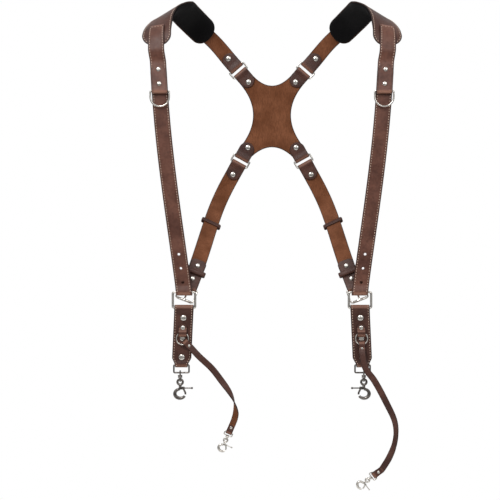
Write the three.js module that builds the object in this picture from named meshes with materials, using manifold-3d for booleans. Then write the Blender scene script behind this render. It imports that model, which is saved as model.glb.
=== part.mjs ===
// Dual camera harness: two padded shoulder straps, joined on the back by a cross plate,
// with a side ring on each flank that carries a drop strap, a snap hook and a safety strap.
// Millimetres, +Z up, the wearer faces -Y, and +X is the wearer's left.
// The origin lies between the shoulders, level with the underside of the pads at their crest.
import * as THREE from 'three';
import Module from 'manifold-3d';
import { mergeVertices } from 'three/addons/utils/BufferGeometryUtils.js';

const wasm = await Module();
wasm.setup();

// Leather
const LEATHER = 3;
const STRAP_WIDTH = 31.5;
const DROP_WIDTH = 37.5;
const RING_TAB_WIDTH = 17;
const SAFETY_WIDTH = 12.5;
const SAFETY_LEATHER = 2.5;
const KEEPER_LEATHER = 2.2;
const KEEPER_HEIGHT = 9;
const KEEPER_SLACK = 3;
const KEEPER_GAP = 0.6;
const UPPER_KEEPER_SHARE = 0.55;
const FIT = 0.3;
const FOLD_FIT = 0.5;
const LAYER_GAP = 0.4;
const PAST_TAB = 3;
const RING_ROOM = 0.7;
const PAD_LAYER_GAP = 0.4;
const PAD_STRAP_GAP = 1;
const LAP_START = 5;
const LAP_LEAD = 6;

// Shoulder pads
const PAD_WIDTH = 58;
const PAD_LEATHER = 2.5;
const PAD_FILL = 8;
const PAD_RIM = 2;
const PAD_END = 22;
const FRONT_LAP = 40;
const BACK_LAP = 66;
const PAD_OUT = 184;
const PAD_SPLAY_FRONT = 39;
const PAD_SPLAY_BACK = 56.5;
const PAD_REACH_FRONT = 104;
const PAD_REACH_BACK = 112;
const PAD_FALL_FRONT = 96;
const PAD_FALL_BACK = 54;

// Wire of the rings, as radii
const CHEST_WIRE = 1.7;
const YOKE_WIRE = 1.7;
const SIDE_WIRE = 2.3;
const DROP_WIRE = 1.6;
const O_WIRE = 1.2;

// Chest rings
const CHEST_OUT = 216;
const CHEST_FRONT = PAD_REACH_FRONT + 12;
const CHEST_DROP = 185;
const CHEST_RING_DEPTH = 29.5;
const CHEST_TAB = 52;
const CHEST_SLANT = 3.7;
const CHEST_TILT = 6.8;
const CHEST_RIVETS = [13.5, 42];

// Side rings and the roller buckles behind them
const SIDE_OUT = 171.5;
const SIDE_FRONT = 72;
const SIDE_DROP = 588.5;
const SIDE_RING_HEIGHT = 30.5;
const TAIL_LENGTH = 66;
const FRONT_SLANT = 7;
const HOLE_PITCH = 28;
const HOLE_RADIUS = 2.6;
const BUCKLE_LENGTH = 26;
const BUCKLE_WIRE = 1.5;
const ROLLER_RADIUS = 2.5;
const BUCKLE_LEAN = 21;
const BUCKLE_RISE = 17;
const BUCKLE_BACK = 6.4;
const TONGUE_WIDTH = 3.4;
const TONGUE_THICKNESS = 2.2;
const BUCKLE_TAB = 60;
const BUCKLE_RIVETS = [20, 48];

// Cross plate and its four rings
const YOKE_BACK = 114;
const YOKE_DROP = 214;
const YOKE_WAIST = 39;
const YOKE_RISE = 61.5;
const YOKE_SAG = 65.5;
const YOKE_RING_HEIGHT = 15.5;
const YOKE_TAB = 34;
const YOKE_RIVET = 24;
const UPPER_RING_OUT = 69;
const UPPER_RING_RISE = 92.5;
const UPPER_RING_TURN = 41;
const LOWER_RING_OUT = 65;
const LOWER_RING_SAG = 94;
const LOWER_RING_TURN = 29;

// Drop strap, its rings and the snap hook
const DROP_LENGTH = 111;
const DROP_SPLAY = 5;
const DROP_RING_WIDTH = 29.5;
const DROP_RING_HEIGHT = 15.3;
const O_RING_RADIUS = 11.7;
const O_RING_DROP = 59.5;
const RING_TAB_LENGTH = 21;
const RING_TAB_SLACK = 0.6;
const DROP_RIVETS = [19.5, 38.5, 59.5, DROP_LENGTH - 15];
const RING_RIVET_RADIUS = 5.4;
const DROP_RIVET_RADIUS = 6;
const SMALL_RIVET_RADIUS = 4.4;
const YOKE_RIVET_RADIUS = 5.6;

// Snap hook. All sizes are for the large one; the clip of the safety strap is a smaller copy
const SNAP_ALONG_BAR = 2.5;
const SNAP_LOOP = 3.5;
const SNAP_LOOP_WIRE = 1.4;
const SNAP_BARREL = 4.6;
const SNAP_BARREL_TOP = 4.4;
const SNAP_BARREL_END = 9.9;
const SNAP_PIN = 1.3;
const SNAP_EYE_DROP = 18.2;
const SNAP_EYE = 5.2;
const SNAP_EYE_WIRE = 2.3;
const SNAP_NECK = 2.8;
const SNAP_BOW_DROP = 40.9;
const SNAP_BOW_WIDTH = 20.6;
const SNAP_BOW_HEIGHT = 17.8;
const SNAP_BOW_WIRE = 3.5;
const SNAP_PIVOT_OUT = 6.2;
const SNAP_PIVOT_DROP = 30;
const SNAP_LEVER = 23;
const SNAP_GATE = 1.9;
const SNAP_EAR = 1.4;
const SNAP_EAR_GAP = 4.4;
const CLIP_SCALE = 0.72;

// Safety straps, which hang differently on the two sides
const CLIP_WIRE = 1.1;
const CLIP_LOOP_HEIGHT = 7;
const SAFETY_TAB = 15;
const SAFETY_RIVET = 9.5;
const SAFETY_BULGE = 12;
const SAFETY_RIVET_RADIUS = 2.7;
const SAFETY_RIGHT_REACH = 104;
const SAFETY_RIGHT_FALL = 184;
const SAFETY_LEFT_REACH = 66;
const SAFETY_LEFT_FALL = 256;

const X = new THREE.Vector3(1, 0, 0);
const Y = new THREE.Vector3(0, 1, 0);
const Z = new THREE.Vector3(0, 0, 1);

function vec(x, y, z) {
  return new THREE.Vector3(x, y, z);
}

function radians(degrees) {
  return THREE.MathUtils.degToRad(degrees);
}

// Start plus any number of [direction, length] steps
function from(start, ...steps) {
  const point = start.clone();
  for (const [direction, length] of steps) {
    point.addScaledVector(direction, length);
  }
  return point;
}

function blend(a, b, share) {
  return a + (b - a) * share;
}

function ease(share) {
  const s = THREE.MathUtils.clamp(share, 0, 1);
  return s * s * (3 - 2 * s);
}

// A closed geometry as a solid for joining and cutting
function solidOf(geometry) {
  const bare = geometry.clone();
  bare.deleteAttribute('normal');
  bare.deleteAttribute('uv');
  const merged = mergeVertices(bare, 1e-4);
  const positions = merged.attributes.position.array;
  const triangles = Array.from(merged.index.array);
  if (signedVolume(positions, triangles) < 0) {
    turnOver(triangles);
  }
  return new wasm.Manifold(new wasm.Mesh({
    numProp: 3,
    vertProperties: new Float32Array(positions),
    triVerts: new Uint32Array(triangles),
  }));
}

function turnOver(triangles) {
  for (let i = 0; i < triangles.length; i += 3) {
    [triangles[i + 1], triangles[i + 2]] = [triangles[i + 2], triangles[i + 1]];
  }
}

function geometryOf(solid, mirrored) {
  const mesh = solid.getMesh();
  const stride = mesh.numProp;
  const count = mesh.vertProperties.length / stride;
  const positions = new Float32Array(count * 3);
  for (let i = 0; i < count; i += 1) {
    positions[3 * i] = mesh.vertProperties[stride * i] * (mirrored ? -1 : 1);
    positions[3 * i + 1] = mesh.vertProperties[stride * i + 1];
    positions[3 * i + 2] = mesh.vertProperties[stride * i + 2];
  }
  const triangles = Array.from(mesh.triVerts);
  if (mirrored) {
    turnOver(triangles);
  }
  const geometry = new THREE.BufferGeometry();
  geometry.setAttribute('position', new THREE.BufferAttribute(positions, 3));
  geometry.setIndex(triangles);
  geometry.computeVertexNormals();
  return geometry;
}

// Skin over a row of sections that all have the same number of corners, each face of
// four corners split along its shorter diagonal. A closed loft joins its last section to
// its first; an open one gets flat ends.
function loft(sections, closed) {
  const size = sections[0].length;
  const rows = sections.length;
  const positions = [];
  for (const section of sections) {
    for (const corner of section) {
      positions.push(corner.x, corner.y, corner.z);
    }
  }
  const triangles = [];
  const spans = closed ? rows : rows - 1;
  for (let row = 0; row < spans; row += 1) {
    const next = (row + 1) % rows;
    for (let i = 0; i < size; i += 1) {
      const j = (i + 1) % size;
      const [a, b, c, d] = [row * size + i, row * size + j, next * size + j, next * size + i];
      const direct = sections[row][i].distanceTo(sections[next][j]);
      if (direct < sections[row][j].distanceTo(sections[next][i])) {
        triangles.push(a, b, c, a, c, d);
      } else {
        triangles.push(a, b, d, b, c, d);
      }
    }
  }
  if (!closed) {
    const last = (rows - 1) * size;
    for (let i = 1; i < size - 1; i += 1) {
      triangles.push(0, i + 1, i);
      triangles.push(last, last + i, last + i + 1);
    }
  }
  const geometry = new THREE.BufferGeometry();
  geometry.setAttribute('position', new THREE.Float32BufferAttribute(positions, 3));
  geometry.setIndex(triangles);
  return solidOf(geometry);
}

function signedVolume(positions, triangles) {
  let total = 0;
  const [a, b, c] = [vec(0, 0, 0), vec(0, 0, 0), vec(0, 0, 0)];
  for (let i = 0; i < triangles.length; i += 3) {
    a.fromArray(positions, 3 * triangles[i]);
    b.fromArray(positions, 3 * triangles[i + 1]);
    c.fromArray(positions, 3 * triangles[i + 2]);
    total += a.dot(b.cross(c));
  }
  return total / 6;
}

// A run is a row of points along a strap, each with its direction across the strap, and
// where the strap lies on something curved, its face direction too. A fixed point always
// gets a section of its own.
class Run {
  constructor(points) {
    this.points = points;
    this.lengths = [0];
    for (let i = 1; i < points.length; i += 1) {
      this.lengths.push(this.lengths[i - 1] + points[i].p.distanceTo(points[i - 1].p));
    }
    this.length = this.lengths[points.length - 1];
    this.tangents = points.map((point, i) => {
      const after = points[Math.min(i + 1, points.length - 1)].p;
      return after.clone().sub(points[Math.max(i - 1, 0)].p).normalize();
    });
  }

  // Place, direction, direction across and face at a distance along the run
  at(distance) {
    const d = THREE.MathUtils.clamp(distance, 0, this.length);
    let i = 1;
    while (i < this.lengths.length - 1 && this.lengths[i] < d) {
      i += 1;
    }
    const share = (d - this.lengths[i - 1]) / (this.lengths[i] - this.lengths[i - 1]);
    const [before, after] = [this.points[i - 1], this.points[i]];
    const p = before.p.clone().lerp(after.p, share);
    const w = before.w.clone().lerp(after.w, share).normalize();
    const t = this.tangents[i - 1].clone().lerp(this.tangents[i], share).normalize();
    const n = w.clone().cross(t).normalize();
    const given = share > 0.5 ? after.n : before.n;
    if (given) {
      n.copy(given);
    }
    return { p, t, w, n };
  }

  // Distance along the run at which it passes nearest to a point
  nearest(point) {
    let best = 0;
    this.points.forEach((sample, i) => {
      if (sample.p.distanceTo(point) < this.points[best].p.distanceTo(point)) {
        best = i;
      }
    });
    return this.lengths[best];
  }

  // Distances where a strap needs a section: where it has turned, or a longest step on
  stations(turn, step, extra) {
    const marks = [0];
    let last = this.at(0);
    let lastAt = 0;
    for (let i = 1; i < this.points.length - 1; i += 1) {
      const here = this.at(this.lengths[i]);
      const bent = Math.max(here.t.angleTo(last.t), here.w.angleTo(last.w));
      if (this.points[i].fixed || bent > radians(turn) || this.lengths[i] - lastAt > step) {
        marks.push(this.lengths[i]);
        last = here;
        lastAt = this.lengths[i];
      }
    }
    marks.push(this.length, ...extra);
    marks.sort((a, b) => a - b);
    return marks.filter((mark, i) => i === 0 || mark - marks[i - 1] > SHORTEST_STEP);
  }
}

const SHORTEST_STEP = 0.4;

// Half-round end of a strap: its width at a distance from the end
function roundWidth(distance, width, radius) {
  if (distance >= radius) {
    return width;
  }
  const cut = radius - Math.sqrt(radius * radius - (radius - distance) ** 2);
  return Math.max(width - 2 * cut, width * 0.12);
}

const END_SHARES = [0.04, 0.2, 0.5, 1];

// A flat strap of leather along a run. Offset lifts it off the run along its face.
function strap(run, width, thickness, options = {}) {
  const { roundStart = 0, roundEnd = 0, offset = 0, widthAt = null, turn = 16, step = 70 } = options;
  const extra = [...(options.marks ?? [])];
  for (const share of END_SHARES) {
    if (roundStart > 0) {
      extra.push(share * roundStart);
    }
    if (roundEnd > 0) {
      extra.push(run.length - share * roundEnd);
    }
  }
  const sections = run.stations(turn, step, extra).map((distance) => {
    const { p, w, n } = run.at(distance);
    let wide = widthAt ? widthAt(distance) : width;
    if (roundStart > 0) {
      wide = Math.min(wide, roundWidth(distance, width, roundStart));
    }
    if (roundEnd > 0) {
      wide = Math.min(wide, roundWidth(run.length - distance, width, roundEnd));
    }
    const profile = options.profile ?? flatProfile;
    return profile(wide / 2, thickness, wide / width).map(([across, up]) => {
      return from(p, [w, across], [n, offset + up]);
    });
  });
  return loft(sections, false);
}

function flatProfile(half, thickness) {
  const up = thickness / 2;
  return [[-half, -up], [half, -up], [half, up], [-half, up]];
}

// Columns across the face where the pad's leather and lining meet, as shares of the lining
const PAD_COLUMNS = [-1, -0.4, 0.4, 1];
const LINING_SHARE = (PAD_WIDTH - 2 * PAD_RIM) / PAD_WIDTH;

function padLeatherProfile(half, thickness) {
  const up = thickness / 2;
  const below = PAD_COLUMNS.map((share) => [share * half * LINING_SHARE, -up]);
  const edge = Math.min(STRAP_WIDTH / 2, half * 0.9);
  return [[-half, -up], ...below, [half, -up], [half, up], [edge, up], [-edge, up], [-half, up]];
}

// Section of the padded lining: flat against the leather, crowned towards the shoulder
function liningProfile(half, thickness, share) {
  const full = thickness * Math.min(1, 0.35 + 0.65 * share);
  const above = PAD_COLUMNS.map((across) => [across * half, thickness / 2]);
  const crown = [[1, 0.45], [0.7, 0.95], [0, 1.05], [-0.7, 0.95], [-1, 0.45]];
  const below = crown.map(([across, depth]) => [across * half, thickness / 2 - depth * full]);
  return [...above, ...below];
}

// Fold of a strap round a bar. The main layer lies on the side away from `face`,
// the turned-back tab on the side of `face`, and both lie close beyond a short way.
function foldShape(bar) {
  const thickness = bar.leather ?? LEATHER;
  const turn = bar.wire + FOLD_FIT + (bar.slack ?? 0) + thickness / 2;
  const rest = (thickness + LAYER_GAP) / 2;
  const reach = (bar.reach ?? 3) * turn;
  const lean = bar.lean ?? 0;
  const hold = bar.hold ?? 0;
  const close = (u) => (turn - rest) * ease((u - hold) / (reach - hold));
  const main = (u) => (1 - lean) * close(u) - turn;
  const tab = (u) => turn - (1 + lean) * close(u);
  const place = (u, v) => from(bar.at, [bar.along, u], [bar.face, v]);
  return { thickness, turn, rest, reach, main, tab, place };
}

// Points of a fold, from the tip of the tab, round the bar, to the main layer
function fold(bar) {
  const shape = foldShape(bar);
  const points = [];
  const add = (p, fixed) => points.push({ p, w: bar.across.clone(), fixed });
  const closing = [1, 0.67, 0.33, 0];
  if (bar.tab > shape.reach) {
    add(shape.place(bar.tab, shape.tab(bar.tab)), false);
    add(shape.place(blend(shape.reach, bar.tab, 0.5), shape.tab(bar.tab)), false);
  }
  for (const share of closing) {
    const u = share * Math.min(shape.reach, bar.tab);
    add(shape.place(u, shape.tab(u)), share === 1);
  }
  const turnSteps = 6;
  for (let i = 1; i < turnSteps; i += 1) {
    const angle = Math.PI * i / turnSteps;
    add(shape.place(-shape.turn * Math.sin(angle), shape.turn * Math.cos(angle)), true);
  }
  for (const share of closing.toReversed()) {
    const u = share * shape.reach;
    add(shape.place(u, shape.main(u)), share === 1);
  }
  if (bar.straight > shape.reach) {
    add(shape.place(bar.straight, shape.main(bar.straight)), true);
  }
  return points;
}

// Smooth run of points from one end to another, with a pull along each end's direction
function span(start, startDirection, end, endDirection, startAcross, endAcross, pulls) {
  const length = start.distanceTo(end);
  const curve = new THREE.CubicBezierCurve3(
    start,
    from(start, [startDirection, length * pulls[0]]),
    from(end, [endDirection, -length * pulls[1]]),
    end,
  );
  const steps = Math.ceil(length / 6);
  const points = [];
  for (let i = 1; i < steps; i += 1) {
    const w = startAcross.clone().lerp(endAcross, ease(i / steps)).normalize();
    points.push({ p: curve.getPointAt(i / steps), w });
  }
  return points;
}

// Round wire along points in a plane, closed or with flat ends. The radius may change
// along it.
function wire(points, plane, radius, closed, sides = 6) {
  const sections = points.map((point, i) => {
    const count = points.length;
    const before = closed ? points[(i + count - 1) % count] : points[Math.max(i - 1, 0)];
    const after = closed ? points[(i + 1) % count] : points[Math.min(i + 1, count - 1)];
    const t = after.clone().sub(before).normalize();
    const up = t.clone().cross(plane).normalize();
    const r = typeof radius === 'function' ? radius(i / (count - 1)) : radius;
    const section = [];
    for (let k = 0; k < sides; k += 1) {
      const angle = 2 * Math.PI * k / sides;
      section.push(from(point, [plane, r * Math.cos(angle)], [up, r * Math.sin(angle)]));
    }
    return section;
  });
  return loft(sections, closed);
}

// Corner points of a rounded outline in a plane, with named centre and two directions
function outline(centre, right, up, corners) {
  const points = [];
  for (const { x, z, radius, start, end, steps } of corners) {
    for (let i = 0; i <= steps; i += 1) {
      const angle = radians(blend(start, end, i / steps));
      points.push(from(
        centre,
        [right, x + radius * Math.cos(angle)],
        [up, z + radius * Math.sin(angle)],
      ));
    }
  }
  return points;
}

// Rectangular ring of round wire. Width and height are between the wire's centres.
function boxRing(centre, right, up, width, height, radius, corner) {
  const plane = right.clone().cross(up).normalize();
  const [x, z] = [width / 2 - corner, height / 2 - corner];
  const points = outline(centre, right, up, [
    { x, z, radius: corner, start: 0, end: 90, steps: 2 },
    { x: -x, z, radius: corner, start: 90, end: 180, steps: 2 },
    { x: -x, z: -z, radius: corner, start: 180, end: 270, steps: 2 },
    { x, z: -z, radius: corner, start: 270, end: 360, steps: 2 },
  ]);
  return wire(points, plane, radius, true);
}

// Round ring of round wire in the plane of two directions
function roundRing(centre, right, up, radius, wireRadius, steps) {
  const points = [];
  for (let i = 0; i < steps; i += 1) {
    const angle = 2 * Math.PI * i / steps;
    points.push(from(centre, [right, radius * Math.cos(angle)], [up, radius * Math.sin(angle)]));
  }
  return wire(points, right.clone().cross(up).normalize(), wireRadius, true);
}

// Domed rivet through layers of leather. `at` is the outer face, `axis` points outwards.
function rivet(at, axis, grip, radius) {
  const shank = radius * 0.32;
  const rise = radius * 0.42;
  const outlinePoints = [
    [0, -grip - FIT - 1],
    [radius * 0.7, -grip - FIT - 1],
    [radius * 0.7, -grip - FIT],
    [shank, -grip - FIT],
    [shank, FIT],
    [radius, FIT],
    [radius * 0.75, FIT + rise * 0.75],
    [0, FIT + rise],
  ].map(([r, h]) => new THREE.Vector2(r, h));
  return turned(outlinePoints, at, axis, 8);
}

function turned(profile, at, axis, sides) {
  const geometry = new THREE.LatheGeometry(profile, sides);
  geometry.applyQuaternion(new THREE.Quaternion().setFromUnitVectors(Y, axis));
  geometry.translate(at.x, at.y, at.z);
  return solidOf(geometry);
}

// Solid cylinder between two points
function rod(start, end, radius, sides = 12) {
  const axis = end.clone().sub(start);
  const length = axis.length();
  const profile = [[0, 0], [radius, 0], [radius, length], [0, length]];
  return turned(profile.map(([r, h]) => new THREE.Vector2(r, h)), start, axis.normalize(), sides);
}

// Head of a rivet alone, sunk a little into the leather that it is part of
function stud(at, axis, radius) {
  const rise = radius * 0.42 + FIT;
  const profile = [
    [0, -FIT],
    [radius, -FIT],
    [radius * 0.75, rise * 0.75],
    [0, rise],
  ].map(([r, h]) => new THREE.Vector2(r, h));
  return turned(profile, at, axis, 8);
}

function rivetHole(at, axis, grip, radius) {
  const shank = radius * 0.32 + FIT;
  return rod(from(at, [axis, -grip - 2]), from(at, [axis, 2]), shank, 6);
}

// Box with its centre and three directions
function block(centre, directions, sizes) {
  const geometry = new THREE.BoxGeometry(...sizes);
  geometry.applyMatrix4(new THREE.Matrix4().makeBasis(...directions));
  geometry.translate(centre.x, centre.y, centre.z);
  return solidOf(geometry);
}

const MATERIALS = {
  grain: { color: 0x5c3b34, roughness: 0.55, metalness: 0 },
  flesh: { color: 0x764830, roughness: 0.85, metalness: 0 },
  lining: { color: 0x17171a, roughness: 0.95, metalness: 0 },
  nickel: { color: 0xd8d4cf, roughness: 0.22, metalness: 1 },
  dark_nickel: { color: 0x4a4644, roughness: 0.3, metalness: 1 },
};

// Shoulder pad: the rows run over the shoulder from front to back. Shares are of the
// splay, reach and fall of that half; turn and tilt are the direction across, in degrees.
const PAD_ROWS = [
  { half: 'front', splay: 1, reach: 1, fall: 1, turn: 4, tilt: 0 },
  { half: 'front', splay: 1, reach: 0.965, fall: 0.84, turn: 8, tilt: 2 },
  { half: 'front', splay: 0.96, reach: 0.87, fall: 0.66, turn: 16, tilt: 8 },
  { half: 'front', splay: 0.83, reach: 0.69, fall: 0.46, turn: 25, tilt: 17 },
  { half: 'front', splay: 0.57, reach: 0.48, fall: 0.29, turn: 30, tilt: 24 },
  { half: 'front', splay: 0.3, reach: 0.24, fall: 0.185, turn: 30, tilt: 24 },
  { half: 'front', splay: 0, reach: 0, fall: 0.12, turn: 24, tilt: 25 },
  { half: 'back', splay: 0.12, reach: 0.29, fall: 0.24, turn: 12, tilt: 38 },
  { half: 'back', splay: 0.26, reach: 0.56, fall: 0.34, turn: 5, tilt: 44 },
  { half: 'back', splay: 0.44, reach: 0.79, fall: 0.48, turn: -4, tilt: 45 },
  { half: 'back', splay: 0.66, reach: 0.92, fall: 0.68, turn: -10, tilt: 46 },
  { half: 'back', splay: 1, reach: 1, fall: 1, turn: -12, tilt: 46 },
];

function padRun() {
  const centres = [];
  const acrosses = [];
  for (const row of PAD_ROWS) {
    const front = row.half === 'front';
    const splay = front ? PAD_SPLAY_FRONT * row.splay : -PAD_SPLAY_BACK * row.splay;
    const reach = front ? -PAD_REACH_FRONT * row.reach : PAD_REACH_BACK * row.reach;
    const fall = front ? PAD_FALL_FRONT * row.fall : PAD_FALL_BACK * row.fall;
    centres.push(vec(PAD_OUT + splay, reach, -fall));
    const turn = radians(row.turn);
    const tilt = radians(row.tilt);
    acrosses.push(vec(
      Math.cos(tilt) * Math.cos(turn),
      Math.cos(tilt) * Math.sin(turn),
      -Math.sin(tilt),
    ));
  }
  const curve = new THREE.CatmullRomCurve3(centres, false, 'centripetal');
  const steps = 12 * (centres.length - 1);
  const points = [];
  for (let i = 0; i <= steps; i += 1) {
    const u = i / steps;
    const place = u * (centres.length - 1);
    const row = Math.min(Math.floor(place), centres.length - 2);
    const t = curve.getTangent(u);
    const w = acrosses[row].clone().lerp(acrosses[row + 1], place - row).normalize();
    w.addScaledVector(t, -w.dot(t)).normalize();
    points.push({ p: curve.getPoint(u), w });
  }
  return new Run(points);
}

const PAD = padRun();
const PAD_MARKS = PAD.stations(12, 30, END_SHARES.flatMap((share) => {
  return [share * PAD_END, PAD.length - share * PAD_END];
}));
const PAD_ON_TOP = PAD_LAYER_GAP / 2 + PAD_LEATHER + PAD_STRAP_GAP + LEATHER / 2;

// Points of a strap on the outside of the pad, from just before one end of it to a lap's
// length, at the same sections as the pad's own
function overPad(fromBack, lap) {
  const marks = fromBack ? PAD_MARKS.toReversed() : PAD_MARKS;
  const edge = PAD.at(marks[0]);
  const points = [{
    p: from(edge.p, [edge.t, fromBack ? LAP_LEAD : -LAP_LEAD], [edge.n, PAD_ON_TOP]),
    w: fromBack ? edge.w.clone().negate() : edge.w,
    n: edge.n,
    fixed: true,
  }];
  for (const mark of marks) {
    const inside = fromBack ? PAD.length - mark : mark;
    if (inside > LAP_START && inside <= lap) {
      const { p, w, n } = PAD.at(mark);
      const across = fromBack ? w.negate() : w;
      points.push({ p: from(p, [n, PAD_ON_TOP]), w: across, n, fixed: true });
    }
  }
  return points;
}

// Bars that straps fold round, each with the direction its strap leaves in
const CHEST_BAR = {
  at: vec(CHEST_OUT, -CHEST_FRONT, -CHEST_DROP),
  along: vec(Math.tan(radians(CHEST_SLANT)), Math.tan(radians(CHEST_TILT)), 1).normalize(),
  face: vec(0, -1, Math.tan(radians(CHEST_TILT))).normalize(),
  across: X,
  wire: CHEST_WIRE,
  tab: CHEST_TAB,
};

const SIDE_CENTRE = vec(SIDE_OUT, -SIDE_FRONT, -SIDE_DROP);
const SIDE_BAR = {
  at: from(SIDE_CENTRE, [Z, SIDE_RING_HEIGHT / 2]),
  along: vec(Math.tan(radians(FRONT_SLANT)), 0, 1).normalize(),
  face: Y,
  across: X,
  wire: SIDE_WIRE,
  slack: 0.9,
  tab: TAIL_LENGTH,
};

const BUCKLE_ACROSS = vec(Math.cos(radians(BUCKLE_LEAN)), 0, Math.sin(radians(BUCKLE_LEAN)));
const BUCKLE_ALONG = vec(
  -Math.sin(radians(BUCKLE_LEAN)) * Math.cos(radians(BUCKLE_RISE)),
  Math.sin(radians(BUCKLE_RISE)),
  Math.cos(radians(BUCKLE_LEAN)) * Math.cos(radians(BUCKLE_RISE)),
);
const BUCKLE_FACE = BUCKLE_ALONG.clone().cross(BUCKLE_ACROSS).normalize().negate();
const ROLLER_CENTRE = from(SIDE_CENTRE, [Y, BUCKLE_BACK]);
const HEEL_BAR = {
  at: from(ROLLER_CENTRE, [BUCKLE_ALONG, BUCKLE_LENGTH]),
  along: BUCKLE_ALONG,
  face: BUCKLE_FACE.y < 0 ? BUCKLE_FACE : BUCKLE_FACE.clone().negate(),
  across: BUCKLE_ACROSS,
  wire: BUCKLE_WIRE,
  tab: BUCKLE_TAB,
};

const YOKE_CENTRE = vec(0, YOKE_BACK, -YOKE_DROP);

// A yoke ring: its centre, the way out of the plate through it, and across it
function yokeRing(out, height, turn, sign) {
  const way = vec(Math.sin(radians(turn)), 0, sign * Math.cos(radians(turn)));
  const across = vec(Math.cos(radians(turn)), 0, -sign * Math.sin(radians(turn)));
  const centre = from(YOKE_CENTRE, [X, out], [Z, sign * height]);
  const bar = (side) => ({
    at: from(centre, [way, side * YOKE_RING_HEIGHT / 2]),
    along: way.clone().multiplyScalar(side),
    face: Y.clone().negate(),
    across,
    wire: YOKE_WIRE,
    tab: YOKE_TAB,
  });
  return { centre, way, across, plateBar: bar(-1), strapBar: bar(1) };
}

const UPPER_RING = yokeRing(UPPER_RING_OUT, UPPER_RING_RISE, UPPER_RING_TURN, 1);
const LOWER_RING = yokeRing(LOWER_RING_OUT, LOWER_RING_SAG, LOWER_RING_TURN, -1);

// Rivet that holds a fold's tab: outer face, outward axis and the grip through both layers
function tabRivet(bar, u, under = 0) {
  const shape = foldShape(bar);
  const at = shape.place(u, shape.tab(u) + shape.thickness / 2);
  const grip = shape.tab(u) - shape.main(u) + shape.thickness + under;
  return { at, axis: bar.face, grip };
}

function withStuds(solid, rivets, radius) {
  let result = solid;
  for (const { at, axis } of rivets) {
    result = result.add(stud(at, axis, radius));
  }
  return result;
}

function withHoles(solid, rivets, radius) {
  let result = solid;
  for (const { at, axis, grip } of rivets) {
    result = result.subtract(rivetHole(at, axis, grip, radius));
  }
  return result;
}

const STRAP_RING_WIDTH = STRAP_WIDTH + 2 * RING_ROOM;

// Pieces of one side, worn on the wearer's left; the other side is its mirror image
const side = {};

function add(name, solid, material) {
  side[name] = { solid, material };
}

function makePad() {
  const ends = { roundStart: PAD_END, roundEnd: PAD_END, turn: 12, step: 30 };
  add('shoulder_pad_leather', strap(PAD, PAD_WIDTH, PAD_LEATHER, {
    ...ends,
    offset: PAD_LAYER_GAP / 2 + PAD_LEATHER / 2,
    profile: padLeatherProfile,
  }), 'grain');
  add('shoulder_pad_lining', strap(PAD, PAD_WIDTH - 2 * PAD_RIM, PAD_FILL, {
    ...ends,
    offset: -PAD_LAYER_GAP / 2 - PAD_FILL / 2,
    profile: liningProfile,
  }), 'lining');
}

function makeShoulderStrap() {
  const folded = fold({ ...CHEST_BAR, straight: CHEST_TAB + PAST_TAB });
  const start = folded[folded.length - 1];
  const lap = overPad(false, FRONT_LAP);
  const between = span(
    start.p, CHEST_BAR.along, lap[0].p, PAD.at(0).t, start.w, lap[0].w, [0.35, 0.35]);
  const run = new Run([...folded, ...between, ...lap]);
  let solid = strap(run, STRAP_WIDTH, LEATHER, { roundStart: STRAP_WIDTH / 2 });
  solid = withHoles(solid, chestRivets(), SMALL_RIVET_RADIUS);
  add('shoulder_strap', solid, 'grain');
}

function chestRivets() {
  return CHEST_RIVETS.map((u) => tabRivet(CHEST_BAR, u, LEATHER + LAYER_GAP));
}

function makeChestRing() {
  const width = STRAP_RING_WIDTH + 2 * CHEST_WIRE;
  const half = width / 2;
  const corner = 2.6;
  const points = outline(CHEST_BAR.at, X, Z, [
    { x: half - corner, z: -corner, radius: corner, start: 0, end: 90, steps: 2 },
    { x: corner - half, z: -corner, radius: corner, start: 90, end: 180, steps: 2 },
    { x: 0, z: half - CHEST_RING_DEPTH, radius: half, start: 180, end: 360, steps: 9 },
  ]);
  add('chest_d_ring', wire(points, Y, CHEST_WIRE, true), 'nickel');
  chestRivets().forEach(({ at, axis, grip }, i) => {
    add(`chest_rivet_${i + 1}`, rivet(at, axis, grip, SMALL_RIVET_RADIUS), 'nickel');
  });
}

function makeFrontStrap() {
  const folded = fold(SIDE_BAR);
  const start = folded[folded.length - 1];
  const chest = foldShape(CHEST_BAR);
  const behind = (u) => chest.place(u, chest.main(u) - LEATHER - LAYER_GAP);
  const top = [];
  for (let i = 0; i <= 16; i += 1) {
    top.push({ p: behind((CHEST_TAB - 4) * i / 16), w: X.clone(), fixed: i % 4 === 0 });
  }
  const leave = vec(0.12, -0.16, 1).normalize();
  const arrive = vec(0.06, -0.02, 1).normalize();
  const between = span(start.p, leave, top[0].p, arrive, X, X, [0.3, 0.35]);
  const run = new Run([...folded, ...between, ...top]);
  const turnAt = run.nearest(from(SIDE_BAR.at, [Z, -foldShape(SIDE_BAR).turn]));
  let solid = strap(run, STRAP_WIDTH, LEATHER, {
    roundStart: STRAP_WIDTH * 0.45,
    roundEnd: STRAP_WIDTH * 0.3,
  });
  solid = withHoles(solid, chestRivets(), SMALL_RIVET_RADIUS);
  for (const step of [-2, -1, 1, 2, 3]) {
    const { p, n } = run.at(turnAt + step * HOLE_PITCH);
    solid = solid.subtract(rod(from(p, [n, -LEATHER]), from(p, [n, LEATHER]), HOLE_RADIUS, 8));
  }
  solid = solid.subtract(tongue(FIT + 0.2));
  add('front_strap', solid, 'grain');
}

function makeSideRing() {
  const width = DROP_WIDTH + 2 * RING_ROOM + 2 * SIDE_WIRE;
  add('side_ring', boxRing(SIDE_CENTRE, X, Z, width, SIDE_RING_HEIGHT, SIDE_WIRE, 3), 'nickel');
}

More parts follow.
